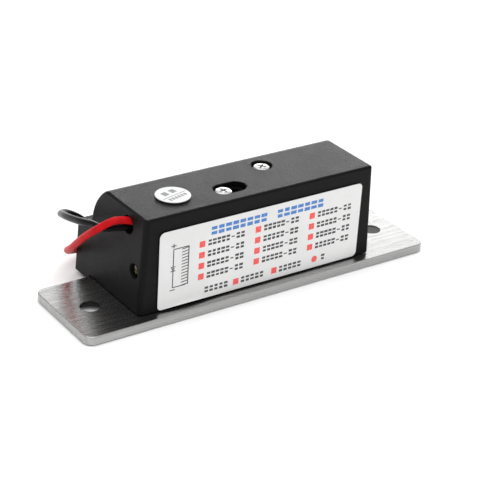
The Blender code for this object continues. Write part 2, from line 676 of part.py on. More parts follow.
def link_place():
    """Where the link pin stands, in the slot of the lever's driven arm."""
    return LEVER_X + DRIVE_ARM * math.sin(math.radians(LEVER_SWING / 2)), COIL_Y


def plunger_pieces():
    x, y = link_place()
    pin = rod((x, y, 17.5), (x, y, TONGUE_HIGH - 0.1), LINK_R, sides=20)
    keep(pin, "plunger_link_pin", "screw_steel")
    snap_ring("plunger_clip", (COIL_Y, COIL_Z), 3.0, 3.6, PLUNGER_R + 0.25, 4.6)


def plunger_spring():
    """Pushes the plunger out of the coil; it closes up when the coil pulls the plunger in."""
    left, right, radius, strand, turns, per_turn = YOKE_RIGHT + 0.6, 2.4, 3.75, 0.25, 6, 12
    coil = []
    for i in range(turns * per_turn + 1):
        angle = 2 * math.pi * i / per_turn
        x = left + (right - left) * i / (turns * per_turn)
        coil.append((x, COIL_Y + radius * math.cos(angle), COIL_Z + radius * math.sin(angle)))
    return keep(wire(coil, strand, 1), "plunger_spring", "spring_steel")


def suppression_diode():
    """An axial diode between the coil's ends, in the space behind the yoke."""
    profile = [(0, 12), (0.4, 12), (0.4, 8.2), (1.3, 8.2), (1.3, 3.8), (0.4, 3.8), (0.4, 0), (0, 0)]
    body = turned(profile, (-37.6, -5.0, 22.0), (-37.6, 7.0, 22.0), sides=16)
    return keep(body, "suppression_diode", "black_epoxy")


# ---------------------------------------------------------------- leads, label, sticker

def smooth(points, count):
    """Evenly spaced points on a smooth curve through a lead's own points."""
    knots = [Vector(p) for p in points]
    ends = [2 * knots[0] - knots[1]] + knots + [2 * knots[-1] - knots[-2]]
    fine, steps = [], 16
    for a, b, c, d in zip(ends, ends[1:], ends[2:], ends[3:]):
        for i in range(steps):
            t = i / steps
            bend = (2 * a - 5 * b + 4 * c - d) * t**2 + (3 * b - a - 3 * c + d) * t**3
            fine.append((2 * b + (c - a) * t + bend) / 2)
    fine.append(knots[-1])
    walked = [0.0]
    for a, b in zip(fine, fine[1:]):
        walked.append(walked[-1] + (b - a).length)
    even, i = [], 0
    for n in range(count):
        target = walked[-1] * n / (count - 1)
        while i < len(fine) - 2 and walked[i + 1] < target:
            i += 1
        share = (target - walked[i]) / (walked[i + 1] - walked[i])
        even.append(fine[i].lerp(fine[i + 1], share))
    return even


def lead(colour, route):
    """A flying lead with a tinned end, lying behind the housing."""
    points = smooth(route, LEAD_POINTS)
    keep(wire(points, LEAD_R), colour + "_lead", colour + "_insulation")
    way = (points[-1] - points[-2]).normalized()
    start = points[-1] + way * GAP
    end = start + way * TINNED_LONG
    keep(rod(start, end, TINNED_R, sides=12), colour + "_lead_tinned_end", "tinned_copper")


def rating_label():
    (left, right), (low, high) = LABEL_X, LABEL_Z
    outline = rounded((left, low), (right, high), LABEL_CORNER)
    face = BODY_NEAR - GAP
    return keep(flat([outline], face - PAPER, face, "Y"), "rating_label", "white_vinyl")


def inspection_sticker():
    low = BODY_TOP + GAP
    place = STICKER_X, STICKER_Y
    disc = rod((*place, low), (*place, low + PAPER), STICKER_R)
    return keep(disc, "inspection_sticker", "white_vinyl")


def main():
    clear_scene()
    collection(NAME)
    collection("cutters")
    faceplate()
    for corner in POST_SCREWS:
        faceplate_screw(corner)
    housing()
    keeper()
    keeper_pin()
    keeper_clips()
    keeper_spring()
    mechanism_cover()
    locking_lever()
    lever_stack()
    back_screw("lever_pivot_screw", LEVER_X, LEVER_Y, 14.8)
    back_screw("solenoid_clamp_screw", SLOT_X, SLOT_Y, YOKE_HIGH - STRAP + 0.1)
    end_set_screw()
    solenoid_yoke()
    solenoid_base_plate()
    solenoid_bobbin()
    windings()
    pole_piece()
    plunger()
    plunger_pieces()
    plunger_spring()
    suppression_diode()
    lead("red", RED_ROUTE)
    lead("black", BLACK_ROUTE)
    rating_label()
    inspection_sticker()


main()
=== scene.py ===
"""The looks of an electric door strike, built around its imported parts.

One operator makes each piece or group of pieces, and one makes the stage. Sizes are in metres,
in the part's own frame: +X along the faceplate, +Y towards the keeper, +Z into the housing.
"""

import math

import bmesh
import bpy
from mathutils import Matrix, Vector


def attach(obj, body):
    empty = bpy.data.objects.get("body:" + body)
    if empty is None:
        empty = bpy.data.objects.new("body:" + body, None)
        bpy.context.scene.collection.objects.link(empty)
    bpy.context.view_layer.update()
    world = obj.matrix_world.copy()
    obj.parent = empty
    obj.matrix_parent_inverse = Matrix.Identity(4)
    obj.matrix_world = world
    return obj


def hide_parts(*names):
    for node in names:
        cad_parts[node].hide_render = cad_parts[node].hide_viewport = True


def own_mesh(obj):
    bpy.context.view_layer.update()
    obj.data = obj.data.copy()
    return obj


bl_info = {
    "name": "Electric door strike",
    "version": (1, 0, 0),
    "blender": (4, 5, 0),
    "location": "3D View > Sidebar > Door strike",
    "description": "Builds the visible pieces and finishes of an electric door strike",
    "category": "Object",
}

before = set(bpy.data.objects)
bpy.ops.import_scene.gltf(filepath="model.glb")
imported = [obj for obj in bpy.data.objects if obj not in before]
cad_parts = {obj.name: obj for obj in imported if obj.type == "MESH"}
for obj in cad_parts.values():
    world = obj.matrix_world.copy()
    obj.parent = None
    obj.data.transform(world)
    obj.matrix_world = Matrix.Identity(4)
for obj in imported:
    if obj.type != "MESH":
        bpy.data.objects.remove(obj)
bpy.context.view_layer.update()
MM = 0.001

# Faceplate
PLATE_HALF, PLATE_THICK, PLATE_NEAR, PLATE_FAR, PLATE_CORNER = 62.0, 2.8, -20.65, 11.35, 3.0
CUTOUT_X, CUTOUT_NEAR, CUTOUT_CORNER = 17.6, -12.0, 1.2
MOUNT_X, MOUNT_Y, MOUNT_R = 52.4, -4.75, 2.9
POST_SCREWS = [(-38.6, -12.2), (36.4, -12.2), (-38.6, 7.4), (36.4, 7.4)]

# Housing
BODY_LEFT, BODY_RIGHT, BODY_TOP, BODY_NEAR, BODY_FOOT = -41.7, 39.8, 33.3, -17.05, 3.1
BODY_STEP_Y, DRAFT = 11.65, 0.05
ARC_Y, ARC_Z, ARC_R = -2.32, 20.4, 15.0
LEDGE_Z, LEDGE_FAR, LEDGE_FOOT = 18.2, 20.65, 1.1
WALL, ROOF = 2.0, 3.0
SCREW_SEAT_R, SCREW_SEAT_Z, SCREW_HOLE_R = 3.2, 31.6, 1.8
SLOT_X, SLOT_Y, SLOT_TRAVEL = -10.6, -9.45, 4.5
LEVER_X, LEVER_Y = 9.3, -0.7
LEAD_HOLE_Y, LEAD_HOLE_Z, LEAD_HOLE_R = -7.75, 28.4, 2.7
SET_Y, SET_Z, SET_R = -12.45, 15.6, 2.2
PIN_Y, PIN_Z = 15.05, 10.6

# Solenoid and springs
COIL_Y, COIL_Z = -7.6, 22.5
COIL_LEFT, COIL_RIGHT, COIL_R, COIL_WIRE_R, COIL_TURNS = -31.8, -10.7, 4.72, 0.3, 30
SPRING_LEFT, SPRING_RIGHT, SPRING_R, SPRING_WIRE_R, SPRING_TURNS = -6.9, 2.4, 3.75, 0.25, 6

# Screws
THREAD_R, THREAD_ROOT, THREAD_PITCH = 1.5, 1.3, 0.5
PAN_TOP, PAN_RUNOUT = 33.0, 0.7
RECESS_R, RECESS_DEPTH, RECESS_HALF = 1.9, 1.5, 0.27
SET_SCREW_LEFT, SET_SCREW_RIGHT, SET_SCREW_LONG = -41.4, -35.3, 6.1
SET_SCREW_R, SET_SCREW_ROOT, SET_SLOT_TURN = 1.9, 1.65, 62
PAN_SCREWS = (  # name, place, height of the tip, turn of the recess
    ("solenoid_clamp_screw", (SLOT_X, SLOT_Y), 28.7, 12),
    ("lever_pivot_screw", (LEVER_X, LEVER_Y), 14.8, 38),
)

# Label
LABEL_LEFT, LABEL_RIGHT, LABEL_LOW, LABEL_HIGH = -37.2, 35.8, 3.4, 28.5
LABEL_FACE, LABEL_BACK = -17.55, -17.35
LABEL_CORNERS = (1.4, 1.8, 1.2, 1.6)
LIFT_X, LIFT_REACH, LIFT_HIGH = -27, 13, 1.5
STICKER_X, STICKER_Y, STICKER_R, STICKER_TURN = -26.3, -6.55, 5.3, 14
LIST_COLUMNS = ((-22.6, 21.7), (-2.8, 21.8), (17.15, 21.6))
LIST_ROWS, LIST_PITCH = 4, 3.57
INK_THICK = 0.03

# Leads
LEAD_R, TINNED_LONG, TINNED_GAP = 1.1, 6.0, 0.3
STRAND_R, STRAND_RING, STRAND_TWIST = 0.24, 0.42, 0.8
LEAD_POINTS = 150
RED_ROUTE = [
    (-36.2, -8.8, 28.6), (-39.5, -8.4, 28.9), (-42.2, -7.9, 29.8), (-45.5, -7.3, 30.3),
    (-48.1, -6.5, 29.5), (-50.3, -4.5, 27.3), (-51.0, -0.1, 23.6), (-50.8, 5.3, 18.9),
    (-49.6, 11.4, 13.8), (-47.0, 18.4, 9.2), (-42.4, 24.2, 5.3), (-36.0, 28.0, 2.6),
    (-29.0, 29.6, 1.2), (-16.0, 29.9, 1.1), (0.0, 29.3, 1.1), (18.0, 29.8, 1.1),
    (34.0, 30.9, 1.1), (48.0, 30.2, 1.1),
]
BLACK_ROUTE = [
    (-36.2, -6.9, 26.9), (-39.4, -7.2, 27.0), (-42.5, -6.9, 27.3), (-45.1, -5.1, 26.9),
    (-46.9, -1.9, 25.8), (-47.2, 3.2, 24.8), (-47.5, 8.6, 23.2), (-47.0, 14.4, 21.3),
    (-46.0, 20.6, 19.2), (-44.4, 26.2, 17.1), (-42.4, 31.0, 14.9), (-38.9, 34.0, 13.1),
    (-34.8, 34.4, 10.6), (-30.6, 33.8, 7.0), (-26.4, 33.2, 3.4), (-21.0, 33.2, 1.5),
    (-10.0, 33.9, 1.1), (6.0, 33.3, 1.1), (22.0, 34.2, 1.1), (38.0, 35.2, 1.1),
    (49.0, 34.6, 1.1),
]

# Studio lights: name, place, what they face, size and power in watts
LIGHTS = (
    ("overhead_panel", (-0.1, -0.1, 1.1), (0, 0, 0), (1.2, 1.2), 8.0),
    ("back_panel", (0.62, 0.75, 0.50), (0, 0, 0.02), (0.9, 0.5), 0.95),
    ("low_back_panel", (0.90, 1.10, 0.30), (0, 0, 0.02), (1.2, 0.3), 8.6),
    ("front_panel", (-0.9, -0.5, 0.55), (0, 0, 0.02), (0.7, 0.5), 0.8),
)
FLOOR_HALF, FLOOR_LEVEL = 2.5, -0.0002


# ---------------------------------------------------------------- settings

class StrikeSettings(bpy.types.PropertyGroup):
    """Sizes and colours that change from one strike to another."""

    steel_colour: bpy.props.FloatVectorProperty(
        name="Faceplate colour", description="Colour of the brushed stainless faceplate",
        default=(0.46, 0.46, 0.455), subtype="COLOR", min=0, max=1)
    housing_colour: bpy.props.FloatVectorProperty(
        name="Housing colour", description="Colour of the housing's satin paint",
        default=(0.0025, 0.0025, 0.0026), subtype="COLOR", min=0, max=1)
    first_lead_colour: bpy.props.FloatVectorProperty(
        name="First lead colour", description="Insulation of the positive lead",
        default=(0.54, 0.008, 0.012), subtype="COLOR", min=0, max=1)
    second_lead_colour: bpy.props.FloatVectorProperty(
        name="Second lead colour", description="Insulation of the negative lead",
        default=(0.0025, 0.0025, 0.0027), subtype="COLOR", min=0, max=1)
    edge_radius: bpy.props.FloatProperty(
        name="Edge radius", description="Rounding of the housing's long edges",
        default=0.0009, unit="LENGTH", min=0.0002, max=0.0015)
    label_curl: bpy.props.FloatProperty(
        name="Label curl", description="How far the label's lower left edge stands off the housing",
        default=0.0005, unit="LENGTH", min=0, max=0.001)


class StageSettings(bpy.types.PropertyGroup):
    """The camera and the studio around the strike."""

    camera_place: bpy.props.FloatVectorProperty(
        name="Camera place", description="Where the camera stands",
        default=(-0.25026, -0.34834, 0.23024), subtype="TRANSLATION")
    azimuth: bpy.props.FloatProperty(
        name="Azimuth", description="Direction the camera looks from, round the strike",
        default=math.radians(-36.071), subtype="ANGLE")
    elevation: bpy.props.FloatProperty(
        name="Elevation", description="Height the camera looks from",
        default=math.radians(27.190), subtype="ANGLE")
    roll: bpy.props.FloatProperty(
        name="Roll", description="Turn of the camera about its own axis",
        default=math.radians(3.640), subtype="ANGLE")
    focal_length: bpy.props.FloatProperty(
        name="Focal length", description="Lens of the camera, in millimetres",
        default=117.26, min=10)


# ---------------------------------------------------------------- shapes

def keep(obj, name, material=None, body="body", replaced=()):
    """Bakes a finished piece's place into its mesh, and puts it with its body."""
    mesh = obj.data
    mesh.transform(obj.matrix_world)
    obj.matrix_world = Matrix.Identity(4)
    obj.name = mesh.name = name
    if material is not None:
        mesh.materials.clear()
        mesh.materials.append(material)
    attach(obj, body)
    if replaced:
        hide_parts(*replaced)
    return obj


def from_bmesh(shape, name="shape"):
    data = bpy.data.meshes.new(name)
    shape.to_mesh(data)
    shape.free()
    obj = bpy.data.objects.new(name, data)
    bpy.context.scene.collection.objects.link(obj)
    return obj


def plain_mesh(obj):
    """The same shape with its modifiers applied, in world coordinates."""
    bpy.context.view_layer.update()
    graph = bpy.context.evaluated_depsgraph_get()
    data = bpy.data.meshes.new_from_object(
        obj.evaluated_get(graph), preserve_all_data_layers=True, depsgraph=graph)
    data.transform(obj.matrix_world)
    made = bpy.data.objects.new(obj.name, data)
    bpy.context.scene.collection.objects.link(made)
    bpy.data.objects.remove(obj)
    return made


def drop(*objs):
    for obj in objs:
        bpy.data.objects.remove(obj)


def weld(obj, distance=0.000002):
    """Merges points that lie together, and clears away edges and faces of no size."""
    shape = bmesh.new()
    shape.from_mesh(obj.data)
    bmesh.ops.remove_doubles(shape, verts=shape.verts, dist=distance)
    bmesh.ops.dissolve_degenerate(shape, edges=shape.edges, dist=distance)
    shape.to_mesh(obj.data)
    shape.free()
    return obj


def smooth_by_angle(obj, degrees=35, weighted=True):
    """Smooth shading that stays crisp at edges, with flats that stay flat."""
    data = obj.data
    data.shade_smooth()
    data.set_sharp_from_angle(angle=math.radians(degrees))
    if weighted:
        step = obj.modifiers.new("weighted", "WEIGHTED_NORMAL")
        step.keep_sharp = True
        step.weight = 80
        obj = plain_mesh(obj)
    return obj


def facing(start, end):
    start, end = Vector(start) * MM, Vector(end) * MM
    return Matrix.Translation(start) @ (end - start).to_track_quat("Z", "Y").to_matrix().to_4x4()


def rod(start, end, radius, end_radius=None, sides=64):
    shape = bmesh.new()
    length = (Vector(end) - Vector(start)).length * MM
    far = radius if end_radius is None else end_radius
    bmesh.ops.create_cone(
        shape, cap_ends=True, segments=sides, radius1=radius * MM, radius2=far * MM, depth=length)
    bmesh.ops.translate(shape, vec=(0, 0, length / 2), verts=shape.verts)
    obj = from_bmesh(shape)
    obj.data.transform(facing(start, end))
    return obj


def box(low, high):
    shape = bmesh.new()
    bmesh.ops.create_cube(shape, size=1.0)
    size = [(b - a) * MM for a, b in zip(low, high)]
    bmesh.ops.scale(shape, vec=size, verts=shape.verts)
    middle = [(a + b) / 2 * MM for a, b in zip(low, high)]
    bmesh.ops.translate(shape, vec=middle, verts=shape.verts)
    return from_bmesh(shape)


def arc(centre, radius, start, end, steps):
    turns = [math.radians(start + (end - start) * i / steps) for i in range(steps + 1)]
    return [(centre[0] + radius * math.cos(t), centre[1] + radius * math.sin(t)) for t in turns]


def prism(outline, low, high, along="Z"):
    """An outline made solid along an axis; drawn in Y and Z along X, in X and Z along Y."""
    place = {
        "X": lambda p, d: (d, p[0], p[1]),
        "Y": lambda p, d: (p[0], d, p[1]),
        "Z": lambda p, d: (p[0], p[1], d),
    }[along]
    shape = bmesh.new()
    ends = [[shape.verts.new(Vector(place(p, d)) * MM) for p in outline] for d in (low, high)]
    shape.faces.new(ends[0])
    shape.faces.new(ends[1])
    count = len(outline)
    for i in range(count):
        j = (i + 1) % count
        shape.faces.new((ends[0][i], ends[0][j], ends[1][j], ends[1][i]))
    bmesh.ops.recalc_face_normals(shape, faces=shape.faces)
    return from_bmesh(shape)


def lathe(profile, start, end, sides=64):
    """A turned piece from (radius, distance) pairs; pairs at radius 0 close it on its axis."""
    shape = bmesh.new()
    rings = []
    for radius, height in profile:
        if radius == 0:
            rings.append([shape.verts.new((0, 0, height * MM))] * sides)
            continue
        turns = [2 * math.pi * i / sides for i in range(sides)]
        rings.append([
            shape.verts.new((radius * MM * math.cos(t), radius * MM * math.sin(t), height * MM))
            for t in turns])
    closed = profile[0][0] > 0
    for one, two in zip(rings, rings[1:] + (rings[:1] if closed else [])):
        for i in range(sides):
            j = (i + 1) % sides
            corners = list(dict.fromkeys((one[i], one[j], two[j], two[i])))
            shape.faces.new(corners)
    bmesh.ops.recalc_face_normals(shape, faces=shape.faces)
    obj = from_bmesh(shape)
    obj.data.transform(facing(start, end))
    return obj


def cut(obj, *others):
    """Cuts shapes out of the first, and clears them away."""
    for other in others:
        step = obj.modifiers.new("cut", "BOOLEAN")
        step.operation = "DIFFERENCE"
        step.object = other
        step.solver = "EXACT"
        step.material_mode = "TRANSFER"
    made = plain_mesh(obj)
    drop(*others)
    return made


def bevelled(obj, width, segments):
    step = obj.modifiers.new("bevel", "BEVEL")
    step.width = width * MM
    step.segments = segments
    step.limit_method = "ANGLE"
    step.angle_limit = math.radians(40)
    step.harden_normals = False
    return plain_mesh(obj)


def joined(objs, name):
    """Several meshes as one, with their own materials."""
    shape, materials = bmesh.new(), []
    for obj in objs:
        for material in obj.data.materials:
            if material not in materials:
                materials.append(material)
    for obj in objs:
        slots = [materials.index(m) for m in obj.data.materials]
        before = len(shape.faces)
        shape.from_mesh(obj.data)
        shape.faces.ensure_lookup_table()
        for face in shape.faces[before:]:
            face.material_index = slots[face.material_index] if slots else 0
    made = from_bmesh(shape, name)
    for material in materials:
        made.data.materials.append(material)
    drop(*objs)
    return made


def smooth_path(points, count):
    """Evenly spaced points on a smooth curve through a lead's own points, in metres."""
    knots = [Vector(p) for p in points]
    ends = [2 * knots[0] - knots[1]] + knots + [2 * knots[-1] - knots[-2]]
    fine, steps = [], 16
    for a, b, c, d in zip(ends, ends[1:], ends[2:], ends[3:]):
        for i in range(steps):
            t = i / steps
            bend = (2 * a - 5 * b + 4 * c - d) * t**2 + (3 * b - a - 3 * c + d) * t**3
            fine.append((2 * b + (c - a) * t + bend) / 2)
    fine.append(knots[-1])
    walked = [0.0]
    for a, b in zip(fine, fine[1:]):
        walked.append(walked[-1] + (b - a).length)
    even, i = [], 0
    for n in range(count):
        target = walked[-1] * n / (count - 1)
        while i < len(fine) - 2 and walked[i + 1] < target:
            i += 1
        share = (target - walked[i]) / (walked[i + 1] - walked[i])
        even.append(fine[i].lerp(fine[i + 1], share) * MM)
    return even


# ---------------------------------------------------------------- node trees

def add(tree, kind, **settings):
    node = tree.nodes.new(kind)
    for name, value in settings.items():
        setattr(node, name, value)
    return node


def new_tree(name, *inputs):
    """A modifier's tree with its inputs, the last of them its finish."""
    tree = bpy.data.node_groups.new(name, "GeometryNodeTree")
    tree.is_modifier = True
    for way in ("INPUT", "OUTPUT"):
        tree.interface.new_socket(name="Geometry", in_out=way, socket_type="NodeSocketGeometry")
    for label, kind, value in (*inputs, ("Finish", "Material", None)):
        made = tree.interface.new_socket(
            name=label, in_out="INPUT", socket_type="NodeSocket" + kind)
        if value is not None:
            made.default_value = value
    return tree, add(tree, "NodeGroupInput")


def feed(tree, given, *links):
    """Joins a tree's named inputs to the sockets they drive."""
    for name, target in links:
        tree.links.new(given.outputs[name], target)


def end_tree(tree, given, last):
    """Every tree ends in Realize Instances and Set Material."""
    real = add(tree, "GeometryNodeRealizeInstances")
    paint = add(tree, "GeometryNodeSetMaterial")
    out = add(tree, "NodeGroupOutput")
    tree.links.new(last, real.inputs[0])
    tree.links.new(real.outputs[0], paint.inputs["Geometry"])
    tree.links.new(paint.outputs[0], out.inputs[0])
    feed(tree, given, ("Finish", paint.inputs["Material"]))
    return tree


def end_sweep(tree, given, curve, radius):
    """Sweeps a round section along a curve, with closed ends, and ends the tree."""
    profile = add(tree, "GeometryNodeCurvePrimitiveCircle")
    sweep = add(tree, "GeometryNodeCurveToMesh")
    sweep.inputs["Fill Caps"].default_value = True
    shade = add(tree, "GeometryNodeSetShadeSmooth")
    feed(tree, given, (radius, profile.inputs["Radius"]), ("Sides", profile.inputs["Resolution"]))
    tree.links.new(curve, sweep.inputs["Curve"])
    tree.links.new(profile.outputs[0], sweep.inputs["Profile Curve"])
    tree.links.new(sweep.outputs[0], shade.inputs["Geometry"])
    return end_tree(tree, given, shade.outputs[0])


def tube_tree():
    """A round tube along a line of points, with closed ends."""
    tree, given = new_tree(
        "tube_along_line", ("Radius", "Float", 0.001), ("Sides", "Int", 24))
    line = add(tree, "GeometryNodeMeshToCurve")
    feed(tree, given, ("Geometry", line.inputs["Mesh"]))
    return end_sweep(tree, given, line.outputs[0], "Radius")


def coil_tree():
    """A wire wound in a helix about Z, from its start height up."""
    tree, given = new_tree(
        "wound_wire", ("Turns", "Float", 6.0), ("Radius", "Float", 0.004),
        ("Length", "Float", 0.01), ("Wire radius", "Float", 0.0003),
        ("Points per turn", "Int", 32), ("Sides", "Int", 10))
    spiral = add(tree, "GeometryNodeCurveSpiral")
    feed(tree, given, ("Points per turn", spiral.inputs["Resolution"]),
         ("Turns", spiral.inputs["Rotations"]), ("Radius", spiral.inputs["Start Radius"]),
         ("Radius", spiral.inputs["End Radius"]), ("Length", spiral.inputs["Height"]))
    return end_sweep(tree, given, spiral.outputs[0], "Wire radius")


def marks_tree():
    """Small printed blocks on a cloud of points, each a little different in width and height."""
    tree, given = new_tree(
        "printed_marks", ("Size", "Vector", (0.001, 0.0001, 0.001)),
        ("Narrowest", "Vector", (1.0, 1.0, 1.0)), ("Widest", "Vector", (1.0, 1.0, 1.0)),
        ("Seed", "Int", 1))
    block = add(tree, "GeometryNodeMeshCube")
    vary = add(tree, "FunctionNodeRandomValue", data_type="FLOAT_VECTOR")
    place = add(tree, "GeometryNodeInstanceOnPoints")
    seed = next(i for i in vary.inputs if i.name == "Seed")
    feed(tree, given, ("Size", block.inputs["Size"]), ("Narrowest", vary.inputs[0]),
         ("Widest", vary.inputs[1]), ("Seed", seed), ("Geometry", place.inputs["Points"]))
    tree.links.new(block.outputs["Mesh"], place.inputs["Instance"])
    tree.links.new(vary.outputs[0], place.inputs["Scale"])
    return end_tree(tree, given, place.outputs[0])


def screws_tree():
    """The same screw set at each of several points."""
    tree, given = new_tree("set_of_screws", ("Screw", "Object", None))
    screw = add(tree, "GeometryNodeObjectInfo")
    place = add(tree, "GeometryNodeInstanceOnPoints")
    feed(tree, given, ("Screw", screw.inputs["Object"]), ("Geometry", place.inputs["Points"]))
    tree.links.new(screw.outputs["Geometry"], place.inputs["Instance"])
    return end_tree(tree, given, place.outputs[0])


def grown(base, tree, **inputs):
    """Runs a tree on an object and returns a plain mesh that holds its finish and no other."""
    step = base.modifiers.new("grow", "NODES")
    step.node_group = tree
    by_name = {s.name: s.identifier for s in tree.interface.items_tree
               if getattr(s, "in_out", "") == "INPUT"}
    for name, value in inputs.items():
        step[by_name[name.replace("_", " ")]] = value
    made = plain_mesh(base)
    made.data.materials.clear()
    made.data.materials.append(inputs["Finish"])
    return made


def points_object(points, linked=False):
    """Points as a mesh, in millimetres, joined into a line where asked."""
    data = bpy.data.meshes.new("points")
    links = [(i, i + 1) for i in range(len(points) - 1)] if linked else []
    data.from_pydata([tuple(Vector(p) * MM) for p in points], links, [])
    obj = bpy.data.objects.new("points", data)
    bpy.context.scene.collection.objects.link(obj)
    return obj


# ---------------------------------------------------------------- finishes

class Finish:
    """A Principled material with helpers for procedural detail in object space."""

    def __init__(self, name, colour, roughness, metallic=0.0, **more):
        self.material = bpy.data.materials.new(name)
        self.material.use_nodes = True
        self.tree = self.material.node_tree
        self.shader = self.tree.nodes["Principled BSDF"]
        self.set("Base Color", (*colour, 1.0))
        self.set("Roughness", roughness)
        self.set("Metallic", metallic)
        for key, value in more.items():
            self.set(key.replace("_", " "), value)
        self.where = self.tree.nodes.new("ShaderNodeTexCoord").outputs["Object"]
        self.bumped = None

    def set(self, name, value):
        self.shader.inputs[name].default_value = value

    def node(self, kind, **settings):
        made = self.tree.nodes.new(kind)
        for name, value in settings.items():
            setattr(made, name, value)
        return made

    def link(self, a, b):
        self.tree.links.new(a, b)

    def mapped(self, scale, shift=(0, 0, 0)):
        mapping = self.node("ShaderNodeMapping")
        mapping.inputs["Scale"].default_value = scale
        mapping.inputs["Location"].default_value = shift
        self.link(self.where, mapping.inputs["Vector"])
        return mapping.outputs[0]

    def noise(self, scale, detail=3.0, rough=0.55, where=None):
        made = self.node("ShaderNodeTexNoise")
        made.inputs["Scale"].default_value = scale
        made.inputs["Detail"].default_value = detail
        made.inputs["Roughness"].default_value = rough
        self.link(where or self.where, made.inputs["Vector"])
        return made.outputs["Fac"]

    def ramp(self, source, stops):
        made = self.node("ShaderNodeValToRGB")
        band = made.color_ramp
        band.elements[0].position, band.elements[0].color = stops[0][0], (*stops[0][1], 1)
        band.elements[1].position, band.elements[1].color = stops[-1][0], (*stops[-1][1], 1)
        for position, colour in stops[1:-1]:
            band.elements.new(position).color = (*colour, 1)
        self.link(source, made.inputs[0])
        return made.outputs[0]

    def colour_by(self, source, stops):
        """Base colour from a texture, through a ramp."""
        self.link(self.ramp(source, stops), self.shader.inputs["Base Color"])

    def shade_by(self, source, colour, shade, start, end):
        """Base colour from a darker shade of a colour up to the colour itself."""
        self.colour_by(source, [(start, [c * shade for c in colour]), (end, colour)])

    def polish_by(self, source, low, high):
        """Roughness from a texture's middle range."""
        made = self.node("ShaderNodeMapRange")
        limits = (("From Min", 0.3), ("From Max", 0.7), ("To Min", low), ("To Max", high))
        for name, value in limits:
            made.inputs[name].default_value = value
        self.link(source, made.inputs["Value"])
        self.link(made.outputs[0], self.shader.inputs["Roughness"])

    def bump(self, height, distance, strength=1.0):
        made = self.node("ShaderNodeBump")
        made.inputs["Distance"].default_value = distance
        made.inputs["Strength"].default_value = strength
        self.link(height, made.inputs["Height"])
        if self.bumped is not None:
            self.link(self.bumped, made.inputs["Normal"])
        self.bumped = made.outputs[0]
        self.link(self.bumped, self.shader.inputs["Normal"])


def brushed_steel(name, colour):
    """Stainless steel with long brush lines, broader streaks and a faint cloudiness."""
    f = Finish(name, colour, 0.3, 1.0)
    stretch = (22, 3600, 3600)
    lines = f.noise(1.0, 3.0, 0.6, f.mapped(stretch))
    broad = f.noise(1.0, 2.0, 0.5, f.mapped([s * 0.3 for s in stretch], (3, 7, 1)))
    clouds = f.noise(60)
    f.polish_by(lines, 0.20, 0.34)
    tone = f.node("ShaderNodeMix", data_type="RGBA", blend_type="MULTIPLY")
    tone.inputs["Factor"].default_value = 1.0
    streaks = f.ramp(broad, [(0.3, (0.76, 0.76, 0.76)), (0.7, (1.0, 1.0, 1.0))])
    haze = f.ramp(clouds, [(0.3, [c * 0.93 for c in colour]), (0.7, colour)])
    f.link(streaks, tone.inputs["A"])
    f.link(haze, tone.inputs["B"])
    f.link(tone.outputs["Result"], f.shader.inputs["Base Color"])
    f.bump(lines, 0.00003, 0.8)
    f.bump(broad, 0.00001, 0.3)
    return f.material


def satin_paint(name, colour):
    """Black paint over a casting: fine pebbled skin, slight cloudiness, few pale specks."""
    f = Finish(name, colour, 0.42, Specular_IOR_Level=0.12)
    skin = f.noise(2600, 2.0, 0.5)
    swell = f.noise(170, 2.0, 0.5)
    specks = f.noise(5200, 1.0, 0.5)
    f.polish_by(swell, 0.41, 0.45)
    f.colour_by(specks, [(0.70, colour), (0.80, [min(c * 4.0, 1.0) for c in colour])])
    f.bump(skin, 0.00012)
    f.bump(swell, 0.00002, 0.2)
    return f.material


def bright_steel(name, colour, roughness=0.24):
    """Plated or turned metal: handling marks and a soft cloud in the shine."""
    f = Finish(name, colour, roughness, 1.0)
    marks = f.noise(900, 4.0, 0.6)
    f.polish_by(marks, roughness * 0.75, roughness * 1.4)
    f.shade_by(marks, colour, 0.84, 0.35, 0.62)
    f.bump(f.noise(4200, 2.0, 0.6), 0.00001, 0.5)
    return f.material


def insulation(name, colour, roughness=0.34):
    """Glossy wire insulation with faint marks from handling."""
    f = Finish(name, colour, roughness, Specular_IOR_Level=0.06)
    marks = f.noise(420)
    f.shade_by(marks, colour, 0.78, 0.35, 0.6)
    f.polish_by(marks, roughness * 0.8, roughness * 1.25)
    f.bump(f.noise(3000, 2.0), 0.00001, 0.4)
    return f.material


def vinyl(name, colour, roughness=0.4):
    """Vinyl: a smooth skin with faint ripples from being pressed on by hand."""
    f = Finish(name, colour, roughness, Coat_Weight=0.15, Coat_Roughness=0.25)
    ripple = f.noise(95, 2.0, 0.45)
    grain = f.noise(2500, 2.0)
    f.shade_by(ripple, colour, 0.955, 0.35, 0.65)
    f.polish_by(grain, roughness * 0.9, roughness * 1.15)
    f.bump(ripple, 0.00012, 0.30)
    f.bump(grain, 0.000006, 0.3)
    return f.material


def ink(name, colour):
    """Printing ink, slightly uneven as a plate lays it down."""
    f = Finish(name, colour, 0.5)
    blot = f.noise(1600)
    weak = [c + (0.75 - c) * 0.16 for c in colour]
    f.colour_by(blot, [(0.30, weak), (0.52, colour)])
    f.polish_by(blot, 0.42, 0.58)
    return f.material


def cast_metal(name, colour, roughness):
    """A plated casting or rolled part, or the near-black painted shade in screw recesses and
    faceplate holes: grainy skin and darker patches at random.
    """
    f = Finish(name, colour, roughness, 1.0)
    grain = f.noise(1900, 4.0, 0.65)
    f.shade_by(f.noise(240), colour, 0.72, 0.32, 0.62)
    f.polish_by(grain, roughness * 0.8, roughness * 1.25)
    f.bump(grain, 0.00003, 0.5)
    return f.material


def moulded(name, colour, roughness=0.5):
    """Moulded plastic with a light spark-eroded texture."""
    f = Finish(name, colour, roughness)
    grain = f.noise(2400)
    f.shade_by(f.noise(300, 2.0), colour, 0.9, 0.35, 0.65)
    f.polish_by(grain, roughness * 0.85, roughness * 1.15)
    f.bump(grain, 0.00002, 0.4)
    return f.material


FINISHES = {}


